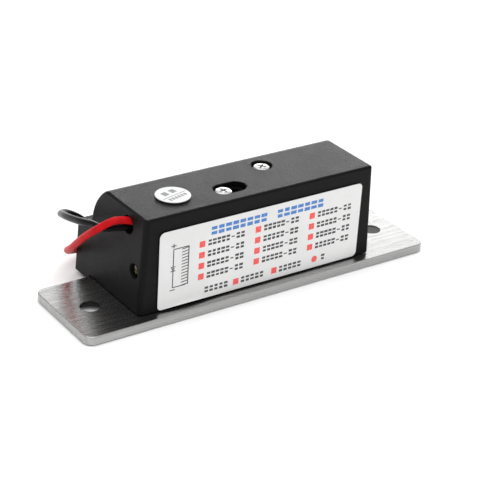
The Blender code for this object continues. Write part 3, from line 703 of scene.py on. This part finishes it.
def make_finishes(settings):
    FINISHES.update({
        "faceplate": brushed_steel("faceplate_brushed_steel", tuple(settings.steel_colour)),
        "housing": satin_paint("housing_satin_paint", tuple(settings.housing_colour)),
        "keeper": cast_metal("keeper_plated_zinc", (0.58, 0.58, 0.60), 0.32),
        "screws": bright_steel("screw_bright_plating", (0.60, 0.595, 0.58), 0.24),
        # Near-black finish for the screws' cross recesses: painted shade for the shadow inside
        # them.
        "recess": cast_metal("recess_dark_plating", (0.10, 0.10, 0.10), 0.5),
        # Near-black finish on the faceplate's hole walls and countersinks: painted shade for the
        # dark inside of the holes.
        "bore": cast_metal("drilled_bore", (0.045, 0.044, 0.042), 0.55),
        "springs": bright_steel("spring_wire", (0.50, 0.50, 0.52), 0.28),
        "rolled": cast_metal("rolled_steel", (0.46, 0.46, 0.47), 0.36),
        "dark": cast_metal("dark_plated_steel", (0.17, 0.17, 0.18), 0.42),
        "brass": bright_steel("turned_brass", (0.80, 0.68, 0.46), 0.26),
        "nylon": moulded("moulded_nylon", (0.82, 0.81, 0.75)),
        "copper": bright_steel("enamelled_copper", (0.72, 0.30, 0.15), 0.22),
        "tape": vinyl("winding_tape_yellow", (0.80, 0.56, 0.06), 0.35),
        "label": vinyl("label_white_vinyl", (0.80, 0.80, 0.795), 0.38),
        "foil": vinyl("sticker_pale_foil", (0.60, 0.605, 0.61), 0.34),
        "grey_ink": ink("sticker_grey_ink", (0.16, 0.16, 0.16)),
        "red_ink": ink("label_red_ink", (0.90, 0.085, 0.075)),
        "black_ink": ink("label_black_ink", (0.03, 0.03, 0.03)),
        "blue_ink": ink("label_blue_ink", (0.045, 0.20, 0.56)),
        "red_lead": insulation("red_lead_sleeving", tuple(settings.first_lead_colour)),
        "black_lead": insulation("black_lead_sleeving", tuple(settings.second_lead_colour), 0.22),
        "tinned": bright_steel("tinned_strands", (0.78, 0.78, 0.77), 0.3),
        "epoxy": moulded("diode_epoxy", (0.03, 0.03, 0.03), 0.35),
    })


# ---------------------------------------------------------------- stage

def make_camera(stage):
    az, el, roll = stage.azimuth, stage.elevation, stage.roll
    back = Vector((math.sin(az) * math.cos(el), -math.cos(az) * math.cos(el), math.sin(el)))
    level = (-back).cross(Vector((0, 0, 1))).normalized()
    above = level.cross(-back)
    right = level * math.cos(roll) + above * math.sin(roll)
    up = above * math.cos(roll) - level * math.sin(roll)
    data = bpy.data.cameras.new("studio_camera")
    data.lens = stage.focal_length
    data.sensor_width = 36.0
    data.clip_start = 0.01
    camera = bpy.data.objects.new("studio_camera", data)
    bpy.context.scene.collection.objects.link(camera)
    turn = Matrix((right, up, back)).transposed().to_4x4()
    camera.matrix_world = Matrix.Translation(Vector(stage.camera_place)) @ turn
    bpy.context.scene.camera = camera


def soft_light(name, place, target, size, power):
    data = bpy.data.lights.new(name, "AREA")
    data.shape = "RECTANGLE"
    data.size, data.size_y = size
    data.energy = power
    light = bpy.data.objects.new(name, data)
    bpy.context.scene.collection.objects.link(light)
    turn = (Vector(place) - Vector(target)).to_track_quat("Z", "Y")
    light.matrix_world = Matrix.Translation(place) @ turn.to_matrix().to_4x4()


def make_world():
    world = bpy.data.worlds.new("studio")
    bpy.context.scene.world = world
    world.use_nodes = True
    tree = world.node_tree
    sky = tree.nodes["Background"]
    where = tree.nodes.new("ShaderNodeTexCoord")
    split = tree.nodes.new("ShaderNodeSeparateXYZ")
    ramp = tree.nodes.new("ShaderNodeValToRGB")
    tree.links.new(where.outputs["Generated"], split.inputs[0])
    tree.links.new(split.outputs["Z"], ramp.inputs[0])
    for stop, position, grey in zip(ramp.color_ramp.elements, (0.0, 0.9), (0.62, 1.0)):
        stop.position, stop.color = position, (grey, grey, grey, 1)
    tree.links.new(ramp.outputs[0], sky.inputs["Color"])
    sky.inputs["Strength"].default_value = 0.85


def make_floor():
    shape = bmesh.new()
    bmesh.ops.create_grid(shape, x_segments=8, y_segments=8, size=FLOOR_HALF)
    bmesh.ops.translate(shape, vec=(0, 0, FLOOR_LEVEL), verts=shape.verts)
    floor = from_bmesh(shape, "studio_floor")
    f = Finish("studio_paper", (0.93, 0.93, 0.93), 0.85, 0.0, Specular_IOR_Level=0.1)
    fibre = f.noise(400, 3.0)
    f.colour_by(fibre, [(0.3, (0.925, 0.925, 0.925)), (0.7, (0.935, 0.935, 0.935))])
    floor.data.materials.append(f.material)


class STRIKE_OT_stage(bpy.types.Operator):
    """Makes the finishes, the camera, the floor and the soft studio light"""

    bl_idname = "strike.stage"
    bl_label = "Stage and finishes"

    def execute(self, context):
        scene = context.scene
        scene.view_settings.view_transform = "Standard"
        make_finishes(scene.strike_settings)
        make_camera(scene.strike_stage)
        make_floor()
        make_world()
        for light in LIGHTS:
            soft_light(*light)
        return {"FINISHED"}


# ---------------------------------------------------------------- leads

class STRIKE_OT_leads(bpy.types.Operator):
    """Makes the two flying leads with their tinned ends"""

    bl_idname = "strike.leads"
    bl_label = "Flying leads"

    def execute(self, context):
        tube = tube_tree()
        for colour, route in (("red", RED_ROUTE), ("black", BLACK_ROUTE)):
            path = smooth_path(route, LEAD_POINTS)
            line = points_object([p / MM for p in path], linked=True)
            finish = FINISHES[colour + "_lead"]
            sleeve = grown(line, tube, Radius=LEAD_R * MM, Sides=32, Finish=finish)
            end = tinned_end(path, tube)
            keep(sleeve, colour + "_lead_insulation", finish,
                 replaced=[colour + "_lead"])
            keep(end, colour + "_lead_strands", FINISHES["tinned"],
                 replaced=[colour + "_lead_tinned_end"])
        return {"FINISHED"}


def tinned_end(path, tube):
    """Six strands twisted round a seventh, dipped in solder."""
    way = (path[-1] - path[-2]).normalized()
    side = way.cross(Vector((0, 0, 1))).normalized()
    over = side.cross(way)
    start = path[-1] + way * TINNED_GAP * MM
    strands = []
    for i in range(7):
        ring = STRAND_RING * MM if i else 0.0
        points = []
        for n in range(25):
            along = n / 24
            turn = 2 * math.pi * (i / 6 + STRAND_TWIST * along)
            offset = side * math.cos(turn) * ring + over * math.sin(turn) * ring
            points.append((start + way * TINNED_LONG * MM * along + offset) / MM)
        line = points_object(points, linked=True)
        strands.append(grown(
            line, tube, Radius=STRAND_R * MM, Sides=10, Finish=FINISHES["tinned"]))
    return joined(strands, "strands")


# ---------------------------------------------------------------- housing

def back_corner(radius, low, high, steps):
    start = math.degrees(math.asin((high - ARC_Z) / radius))
    end = math.degrees(math.asin((low - ARC_Z) / radius))
    return arc((ARC_Y, ARC_Z), radius, start, end, steps)


def housing_blank(edge):
    """The casting's outer shape, with leaning ends and rounded edges."""
    outline = [(BODY_STEP_Y, BODY_FOOT), (BODY_NEAR, BODY_FOOT), (BODY_NEAR, BODY_TOP)]
    outline += back_corner(ARC_R, ARC_Z, BODY_TOP, 20)
    outline += [(ARC_Y + ARC_R, LEDGE_Z), (LEDGE_FAR, LEDGE_Z), (LEDGE_FAR, LEDGE_FOOT)]
    outline += [(BODY_STEP_Y, LEDGE_FOOT)]
    blank = prism(outline, BODY_LEFT, BODY_RIGHT, "X")
    for vertex in blank.data.vertices:
        lean = (BODY_TOP * MM - vertex.co.z) * DRAFT
        vertex.co.x += lean if vertex.co.x > 0 else -lean
    weights = blank.data.attributes.new("bevel_weight_edge", "FLOAT", "EDGE")
    wide, tight = 2.0, 0.6
    narrow = edge / MM / wide
    for item in blank.data.edges:
        a, b = (blank.data.vertices[i].co / MM for i in item.vertices)
        along = abs(a.x - b.x) > 10
        near = abs(a.y - BODY_NEAR) < 0.1 and abs(b.y - BODY_NEAR) < 0.1
        inside = abs(a.y - (ARC_Y + ARC_R)) < 0.1 and a.z < LEDGE_Z + 0.1
        if max(a.z, b.z) < BODY_FOOT + 0.1:
            continue
        if near and not along:
            weights.data[item.index].value = 1.0 if a.x < 0 else tight
        elif along and (near or a.z > BODY_TOP - 0.1 or a.y > LEDGE_FAR - 0.1):
            weights.data[item.index].value = narrow
        elif not along and not inside:
            weights.data[item.index].value = narrow
    step = blank.modifiers.new("soften", "BEVEL")
    step.width = wide * MM
    step.segments = 6
    step.limit_method = "WEIGHT"
    return plain_mesh(blank)


def cavity(left, right, near, low):
    ceiling = BODY_TOP - ROOF
    outline = [(near, low), (near, ceiling)] + back_corner(ARC_R - WALL, ARC_Z, ceiling, 12)
    return prism(outline + [(ARC_Y + ARC_R - WALL, low)], left, right, "X")


def housing_hollows():
    near, far = BODY_NEAR + WALL, ARC_Y + ARC_R - WALL
    hollows = [
        cavity(-36.0, 38.0, near, 12.5), cavity(-40.0, -35.5, -9.3, 12.5),
        cavity(-40.0, -35.5, near, 18.4), box((-36.0, near, 0), (34.0, far, 13.0)),
        box((-40.0, -9.3, 0), (38.0, 4.0, 13.0)), box((-17.8, 4, -1), (17.8, 23, 16.2)),
    ]
    for left, right in ((-36.0, -20.0), (20.0, 34.0)):
        hollows.append(box((left, far - 1, 3.1), (right, LEDGE_FAR - WALL, 16.2)))
    return hollows


def stadium(radius, reach, steps=24):
    right = arc((SLOT_X + reach, SLOT_Y), radius, -90, 90, steps)
    return right + arc((SLOT_X, SLOT_Y), radius, 90, 270, steps)


def housing_holes():
    """Screw seats and holes, each with a narrow broken edge at the surface."""
    top, lip = BODY_TOP, 0.25
    pivot = (LEVER_X, LEVER_Y)
    return [
        prism(stadium(SCREW_SEAT_R, SLOT_TRAVEL), SCREW_SEAT_Z, top + 2),
        prism(stadium(SCREW_HOLE_R, SLOT_TRAVEL), 27, SCREW_SEAT_Z + 1),
        prism(stadium(SCREW_SEAT_R + lip, SLOT_TRAVEL), top - 0.12, top + 1),
        rod((*pivot, SCREW_SEAT_Z), (*pivot, top + 2), SCREW_SEAT_R),
        rod((*pivot, 27), (*pivot, SCREW_SEAT_Z + 1), SCREW_HOLE_R),
        rod((*pivot, top - 0.3), (*pivot, top + 0.3), SCREW_SEAT_R, SCREW_SEAT_R + 2 * lip),
        rod((-48, LEAD_HOLE_Y, LEAD_HOLE_Z), (-35, LEAD_HOLE_Y, LEAD_HOLE_Z), LEAD_HOLE_R),
        rod((-42.6, LEAD_HOLE_Y, LEAD_HOLE_Z), (-41.6, LEAD_HOLE_Y, LEAD_HOLE_Z), 3.4, 2.6),
        rod((-48, SET_Y, SET_Z), (-34, SET_Y, SET_Z), SET_R),
        rod((-43.2, SET_Y, SET_Z), (-42.2, SET_Y, SET_Z), 2.8, 2.1),
        rod((-22, PIN_Y, PIN_Z), (22, PIN_Y, PIN_Z), 1.8),
    ] + [rod((x, y, 0), (x, y, 11), SCREW_HOLE_R, sides=24) for x, y in POST_SCREWS]


class STRIKE_OT_housing(bpy.types.Operator):
    """Makes the painted casting with its rounded edges, hollows, seats and holes"""

    bl_idname = "strike.housing"
    bl_label = "Housing"

    def execute(self, context):
        shell = housing_blank(context.scene.strike_settings.edge_radius)
        shell = cut(shell, *housing_hollows())
        shell = cut(shell, *housing_holes())
        shell = smooth_by_angle(weld(shell), 32)
        keep(shell, "housing_shell", FINISHES["housing"], replaced=["housing"])
        return {"FINISHED"}


# ---------------------------------------------------------------- faceplate

def faceplate_outline():
    half, r, inner = PLATE_HALF, PLATE_CORNER, CUTOUT_CORNER
    far, near, low = PLATE_FAR, PLATE_NEAR, CUTOUT_NEAR
    outline = arc((half - r, near + r), r, -90, 0, 12) + arc((half - r, far - r), r, 0, 90, 12)
    outline += [(CUTOUT_X, far)]
    outline += arc((CUTOUT_X - inner, low + inner), inner, 360, 270, 8)
    outline += arc((inner - CUTOUT_X, low + inner), inner, 270, 180, 8)
    outline += [(-CUTOUT_X, far)]
    outline += arc((r - half, far - r), r, 90, 180, 12)
    return outline + arc((r - half, near + r), r, 180, 270, 12)


class STRIKE_OT_faceplate(bpy.types.Operator):
    """Makes the brushed faceplate with its latch cut-out and countersunk holes"""

    bl_idname = "strike.faceplate"
    bl_label = "Faceplate"

    def execute(self, context):
        plate = bevelled(prism(faceplate_outline(), 0, PLATE_THICK), 0.3, 3)
        holes = []
        for x in (-MOUNT_X, MOUNT_X):
            holes += [
                rod((x, MOUNT_Y, -1), (x, MOUNT_Y, 4), MOUNT_R),
                rod((x, MOUNT_Y, -0.2), (x, MOUNT_Y, 1.9), MOUNT_R + 2.2, MOUNT_R - 0.1),
                rod((x, MOUNT_Y, PLATE_THICK - 0.2), (x, MOUNT_Y, PLATE_THICK + 0.2),
                    MOUNT_R - 0.05, MOUNT_R + 0.35),
            ]
        for x, y in POST_SCREWS:
            holes += [rod((x, y, -1), (x, y, 4), 1.8), rod((x, y, -0.2), (x, y, 1.7), 3.4, 1.7)]
        plate.data.materials.append(FINISHES["faceplate"])
        # The hole walls take the near-black bore finish, painted shade inside the holes.
        for hole in holes:
            hole.data.materials.append(FINISHES["bore"])
        plate = smooth_by_angle(weld(cut(plate, *holes)), 32)
        keep(plate, "faceplate_brushed", replaced=["faceplate"])
        return {"FINISHED"}


# ---------------------------------------------------------------- screws

def cross_recess(height):
    """Two crossing wings that taper towards the bottom, as a cross-head driver leaves them."""
    bottom = RECESS_R * 0.42
    outline = [(-RECESS_R, height + 1), (-bottom, height - RECESS_DEPTH),
               (bottom, height - RECESS_DEPTH), (RECESS_R, height + 1)]
    wings = []
    for turn in (0, 90):
        wing = prism(outline, -RECESS_HALF, RECESS_HALF, "Y")
        wing.data.transform(Matrix.Rotation(math.radians(turn), 4, "Z"))
        # The recess faces take the near-black finish, painted shade inside the cross.
        wing.data.materials.append(FINISHES["recess"])
        wings.append(wing)
    return wings


def thread(level, lowest, crest=THREAD_R, root=THREAD_ROOT):
    """The rings of a thread, from its top down to where it runs out."""
    rings = []
    while level > lowest:
        rings += [(crest, level), (root, level - 0.2), (root, level - 0.3),
                  (crest, level - THREAD_PITCH)]
        level -= THREAD_PITCH
    return rings


def turned_screw(profile, start, end):
    screw = lathe(profile, start, end, 48)
    screw.data.materials.append(FINISHES["screws"])
    return screw


def pan_screw(tip):
    """A low cross-head screw with a slightly domed head and rolled thread."""
    head = PAN_TOP - tip
    profile = [(0, head), (1.2, head - 0.02), (2.0, head - 0.07), (2.45, head - 0.2),
               (2.62, head - 0.42), (2.65, head - 1.05), (2.5, head - 1.1), (THREAD_R, head - 1.1)]
    profile += thread(head - 1.6, PAN_RUNOUT) + [(1.2, 0), (0, 0)]
    return cut(turned_screw(profile, (0, 0, tip), (0, 0, PAN_TOP)), *cross_recess(PAN_TOP))


def countersunk_screw():
    """A cross-head screw that points up, with its head at the faceplate's outer face."""
    profile = [(0, 9.5), (1.2, 9.5), (THREAD_R, 9.1)] + thread(8.9, 3.2)
    profile += [(THREAD_R, 1.7), (2.8, 0.4), (2.8, 0.22), (2.7, 0.15), (0, 0.15)]
    wings = cross_recess(-0.15)
    for wing in wings:
        wing.data.transform(Matrix.Rotation(math.pi, 4, "X"))
    return cut(turned_screw(profile, (0, 0, 0), (0, 0, 1)), *wings)


class STRIKE_OT_screws(bpy.types.Operator):
    """Makes the two screws in the back, the four in the faceplate and the set screw in the end"""

    bl_idname = "strike.screws"
    bl_label = "Screws"

    def execute(self, context):
        for name, place, tip, turn in PAN_SCREWS:
            screw = pan_screw(tip)
            turned = Matrix.Rotation(math.radians(turn), 4, "Z")
            screw.data.transform(Matrix.Translation(Vector((*place, 0)) * MM) @ turned)
            screw = smooth_by_angle(weld(screw), 40)
            keep(screw, name + "_plated", replaced=[name])
        pattern = smooth_by_angle(weld(countersunk_screw()), 40)
        points = points_object([(x, y, 0) for x, y in POST_SCREWS])
        screws = grown(points, screws_tree(), Screw=pattern, Finish=FINISHES["screws"])
        drop(pattern)
        corners = ("near_left", "near_right", "far_left", "far_right")
        keep(screws, "faceplate_screws_plated", FINISHES["screws"],
             replaced=["faceplate_screw_" + c for c in corners])
        self.set_screw()
        return {"FINISHED"}

    def set_screw(self):
        length, radius = SET_SCREW_LONG, SET_SCREW_R
        profile = [(0, length), (1.3, length), (radius, length - 0.5)]
        profile += thread(length - 0.8, 1.0, radius, SET_SCREW_ROOT)
        profile += [(radius, 0.4), (1.5, 0), (0, 0)]
        screw = lathe(profile, (SET_SCREW_LEFT, SET_Y, SET_Z), (SET_SCREW_RIGHT, SET_Y, SET_Z), 48)
        slot = box((SET_SCREW_LEFT - 1.0, SET_Y - 3, SET_Z - 0.3),
                   (SET_SCREW_LEFT + 0.9, SET_Y + 3, SET_Z + 0.3))
        axis = Matrix.Translation(Vector((0, SET_Y, SET_Z)) * MM)
        turn = Matrix.Rotation(math.radians(SET_SLOT_TURN), 4, "X")
        slot.data.transform(axis @ turn @ axis.inverted())
        screw = smooth_by_angle(weld(cut(screw, slot)), 40)
        keep(screw, "end_set_screw_turned", FINISHES["brass"],
             replaced=["end_set_screw"])


# ---------------------------------------------------------------- label and sticker

def rounded_outline(low, high, radii, steps=8):
    """A rectangle with a radius for each corner, from the upper right round to the lower right."""
    (x0, y0), (x1, y1) = low, high
    a, b, c, d = radii
    return (arc((x1 - a, y1 - a), a, 0, 90, steps) + arc((x0 + b, y1 - b), b, 90, 180, steps)
            + arc((x0 + c, y0 + c), c, 180, 270, steps) + arc((x1 - d, y0 + d), d, 270, 360, steps))


def label_sheet(curl):
    """The vinyl sheet: flat on the housing, its lower left edge lifting a little."""
    outline = rounded_outline((LABEL_LEFT, LABEL_LOW), (LABEL_RIGHT, LABEL_HIGH), LABEL_CORNERS)
    sheet = prism(outline, LABEL_FACE, LABEL_BACK, "Y")
    shape = bmesh.new()
    shape.from_mesh(sheet.data)
    width = LABEL_RIGHT - LABEL_LEFT
    cuts = [((LABEL_LEFT + width * i / 24, 0, 0), (1, 0, 0)) for i in range(1, 24)]
    cuts += [((0, 0, at), (0, 0, 1)) for at in (3.7, 4.0, 4.4, 4.9, 6.0, 10.0, 16.0)]
    for at, way in cuts:
        everything = shape.verts[:] + shape.edges[:] + shape.faces[:]
        place = [c * MM for c in at]
        bmesh.ops.bisect_plane(shape, geom=everything, plane_co=place, plane_no=way)
    for vertex in shape.verts:
        x, z = vertex.co.x / MM, vertex.co.z / MM
        across = max(0.0, 1 - abs(x - LIFT_X) / LIFT_REACH)
        down = max(0.0, 1 - (z - LABEL_LOW) / LIFT_HIGH)
        lift = across * across * (3 - 2 * across) * down * down
        vertex.co.y -= curl * lift
        vertex.co.z += 0.0004 * lift
    shape.to_mesh(sheet.data)
    shape.free()
    return sheet


def word(start, height, count, pitch):
    """Where the marks of one printed group stand, on the label's face."""
    return [(start + pitch * i, LABEL_FACE, height) for i in range(count)]


def list_rows(shift=0.0):
    """Where the rows of the label's list start, moved along them by a distance."""
    return [(left + shift, LABEL_FACE, first - LIST_PITCH * row)
            for left, first in LIST_COLUMNS for row in range(LIST_ROWS)]


def list_print():
    """Rows of plain marks, where a strike's label lists its kinds."""
    points = []
    for left, _, height in list_rows():
        points += word(left + 2.7, height, 5, 1.58)
        points += word(left + 12.6, height, 2, 1.66)
    for start in (-20.4, -7.4, 6.6):
        points += word(start, 6.2, 5, 1.72)
    return points + word(22.6, 6.3, 1, 1.0)


def paired(points, apart):
    """Each mark is an upper and a lower bar, so that it can't be read."""
    return [(x, y, z + way * apart / 2) for x, y, z in points for way in (-1, 1)]


def printed(points, tree, wide, high, finish, **spread):
    """Blocks of ink on the label's face."""
    size = (wide * MM, INK_THICK * MM, high * MM)
    return grown(points_object(points), tree, Size=size, Finish=finish, **spread)


def circuit_sign():
    """A coil beside a diode on a line, as a wiring sign shows them."""
    x, y, low, high = -32.4, LABEL_FACE, 9.9, 22.4
    middle = (low + high) / 2
    lines = [
        [(x, y, low), (x, y, high)],
        [(x - 0.9, y, high + 1.1), (x + 0.9, y, high + 1.1)],
        [(x, y, high + 0.4), (x, y, high + 1.8)],
        [(x - 0.9, y, low - 0.8), (x + 0.9, y, low - 0.8)],
        [(x, y, high), (x + 5.2, y, high)], [(x, y, low), (x + 4.4, y, low)],
        [(x - 0.8, y, middle - 0.8), (x + 0.8, y, middle - 0.8)],
        [(x - 0.7, y, middle + 0.6), (x, y, middle - 0.7), (x + 0.7, y, middle + 0.6),
         (x - 0.7, y, middle + 0.6)],
        [(x + 5.2, y, high), (x + 5.2, y, low)],
    ]
    turns = 13
    for i in range(turns):
        level = high - 0.3 - (high - low - 0.6) * i / (turns - 1)
        lines.append([(x + 2.9, y, level - 0.25), (x + 5.2, y, level)])
    return lines


class STRIKE_OT_label(bpy.types.Operator):
    """Makes the printed label on the housing's long side"""

    bl_idname = "strike.label"
    bl_label = "Printed label"

    def execute(self, context):
        settings = context.scene.strike_settings
        sheet = label_sheet(settings.label_curl)
        sheet = smooth_by_angle(sheet, 40, weighted=False)
        keep(sheet, "label_sheet", FINISHES["label"], replaced=["rating_label"])
        marks = marks_tree()
        black, blue, red = FINISHES["black_ink"], FINISHES["blue_ink"], FINISHES["red_ink"]
        text = printed(paired(list_print(), 1.16), marks, 1.24, 0.74, black,
                       Narrowest=(0.85, 1.0, 0.88), Widest=(1.1, 1.0, 1.08), Seed=4)
        rule = printed(list_rows(10.75), marks, 1.1, 0.38, black)
        tube = tube_tree()
        strokes = [grown(points_object(line, True), tube, Radius=0.17 * MM, Sides=6, Finish=black)
                   for line in circuit_sign()]
        flatten(strokes, INK_THICK * MM)
        keep(joined([text, rule] + strokes, "print"), "label_black_print")
        heading = word(-18.6, 25.3, 8, 2.52) + word(4.9, 25.3, 7, 2.52)
        title = printed(paired(heading, 1.62), marks, 2.0, 1.08, blue,
                        Narrowest=(0.85, 1.0, 0.9), Widest=(1.08, 1.0, 1.08), Seed=2)
        keep(title, "label_blue_print", blue)
        pair = [(-9.9, LABEL_FACE, 6.1), (4.1, LABEL_FACE, 6.2)]
        squares = printed(list_rows() + pair, marks, 2.0, 2.0, red)
        dot = rod((19.3, LABEL_FACE - 0.015, 6.3), (19.3, LABEL_FACE + 0.015, 6.3), 1.05, sides=48)
        dot.data.materials.append(red)
        keep(joined([squares, dot], "squares"), "label_red_print")
        return {"FINISHED"}


def flatten(objs, thick):
    """Presses drawn strokes down to the thickness of the ink."""
    for obj in objs:
        for vertex in obj.data.vertices:
            off = vertex.co.y - LABEL_FACE * MM
            vertex.co.y = LABEL_FACE * MM + max(-thick / 2, min(thick / 2, off))


class STRIKE_OT_sticker(bpy.types.Operator):
    """Makes the round inspection sticker on the housing's back"""

    bl_idname = "strike.sticker"
    bl_label = "Round sticker"

    def execute(self, context):
        low = BODY_TOP + 0.3
        disc = lathe([(0, 0.2), (STICKER_R - 0.06, 0.2), (STICKER_R, 0.14), (STICKER_R, 0), (0, 0)],
                     (STICKER_X, STICKER_Y, low), (STICKER_X, STICKER_Y, low + 1), 96)
        disc = smooth_by_angle(disc, 40)
        keep(disc, "sticker_disc", FINISHES["foil"], replaced=["inspection_sticker"])
        marks = marks_tree()
        top = low + 0.2
        turn = Matrix.Rotation(math.radians(STICKER_TURN), 3, "Z")
        middle = Vector((STICKER_X, STICKER_Y, top))
        upper = [(-1.55, 1.75, 0), (1.55, 1.75, 0)]
        line = [(0, -0.55, 0)]
        lower = [(-3.0 + 1.2 * i, -2.0, 0) for i in range(6)]
        prints = []
        for points, size in ((upper, (1.9, 2.1)), (line, (9.0, 0.28)), (lower, (0.8, 1.3))):
            cloud = points_object(points)
            size = (size[0] * MM, size[1] * MM, INK_THICK * MM)
            made = grown(cloud, marks, Size=size, Finish=FINISHES["grey_ink"])
            made.data.transform(Matrix.Translation(middle * MM) @ turn.to_4x4())
            prints.append(made)
        keep(joined(prints, "print"), "sticker_print")
        return {"FINISHED"}


# ---------------------------------------------------------------- working parts

def refined(node, made, finish, body="body", angle=35):
    """A smooth copy of a part's own solid, with its joins merged."""
    name = node + "_" + made
    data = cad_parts[node].data.copy()
    obj = bpy.data.objects.new(name, data)
    bpy.context.scene.collection.objects.link(obj)
    shape = bmesh.new()
    shape.from_mesh(data)
    bmesh.ops.remove_doubles(shape, verts=shape.verts, dist=0.000001)
    shape.to_mesh(data)
    shape.free()
    obj = smooth_by_angle(obj, angle)
    return keep(obj, name, FINISHES[finish], body, [node])


# Node, how it's made, finish, then body and smoothing angle where they aren't the usual ones
REFINED = (
    ("keeper", "casting", "keeper", "keeper_body", 32),
    ("keeper_pin", "ground", "screws"),
    ("keeper_clip_left", "sprung", "springs"),
    ("keeper_clip_right", "sprung", "springs"),
    ("keeper_spring", "wire", "springs", "body", 60),
    ("mechanism_cover", "folded", "dark"),
    ("locking_lever", "stamped", "dark", "lever_body"),
    ("lever_bush", "turned", "brass"),
    ("lever_washer", "stamped", "springs"),
    ("lever_lock_nut", "plated", "screws"),
    ("solenoid_yoke", "bent", "rolled"),
    ("solenoid_base_plate", "cut", "rolled"),
    ("solenoid_bobbin", "moulded", "nylon"),
    ("winding_tape", "wrap", "tape"),
    ("pole_piece", "turned", "rolled"),
    ("plunger", "turned", "screws", "plunger_body"),
    ("plunger_link_pin", "ground", "screws", "plunger_body"),
    ("plunger_clip", "sprung", "springs", "plunger_body"),
    ("suppression_diode", "moulded", "epoxy"),
)


def wound(node, tree, finish, left, right, radius, strand, turns):
    """A wire coil on the solenoid's axis, in place of a node."""
    made = grown(points_object([(0, 0, 0)]), tree, Turns=float(turns), Radius=radius * MM,
                 Length=(right - left) * MM, Wire_radius=strand * MM, Finish=FINISHES[finish])
    made.data.transform(facing((left, COIL_Y, COIL_Z), (right, COIL_Y, COIL_Z)))
    return keep(made, node + "_wound", FINISHES[finish], replaced=[node])


class STRIKE_OT_working_parts(bpy.types.Operator):
    """Refines the keeper, the lock and the solenoid, and winds the coil and its return spring"""

    bl_idname = "strike.working_parts"
    bl_label = "Working parts"

    def execute(self, context):
        for piece in REFINED:
            refined(*piece)
        coil = coil_tree()
        wound("coil_winding", coil, "copper", COIL_LEFT, COIL_RIGHT, COIL_R, COIL_WIRE_R,
              COIL_TURNS)
        spring = wound("plunger_spring", coil, "springs", SPRING_LEFT, SPRING_RIGHT, SPRING_R,
                       SPRING_WIRE_R, SPRING_TURNS)
        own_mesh(spring)
        return {"FINISHED"}


# ---------------------------------------------------------------- add-on

OPERATORS = (
    STRIKE_OT_stage,
    STRIKE_OT_leads,
    STRIKE_OT_housing,
    STRIKE_OT_faceplate,
    STRIKE_OT_screws,
    STRIKE_OT_label,
    STRIKE_OT_sticker,
    STRIKE_OT_working_parts,
)


class STRIKE_PT_panel(bpy.types.Panel):
    """Lists the pieces of the strike in the 3D view's sidebar"""

    bl_idname = "STRIKE_PT_panel"
    bl_label = "Door strike"
    bl_space_type = "VIEW_3D"
    bl_region_type = "UI"
    bl_category = "Door strike"

    def draw(self, context):
        for settings in (context.scene.strike_settings, context.scene.strike_stage):
            for name in settings.__annotations__:
                self.layout.prop(settings, name)
        for operator in OPERATORS:
            self.layout.operator(operator.bl_idname)


CLASSES = (StrikeSettings, StageSettings, *OPERATORS, STRIKE_PT_panel)


def register():
    for item in CLASSES:
        bpy.utils.register_class(item)
    bpy.types.Scene.strike_settings = bpy.props.PointerProperty(type=StrikeSettings)
    bpy.types.Scene.strike_stage = bpy.props.PointerProperty(type=StageSettings)


def unregister():
    del bpy.types.Scene.strike_stage
    del bpy.types.Scene.strike_settings
    for item in reversed(CLASSES):
        bpy.utils.unregister_class(item)


def main():
    register()
    for operator in OPERATORS:
        group, name = operator.bl_idname.split(".")
        getattr(getattr(bpy.ops, group), name)()


if __name__ == "__main__":
    main()
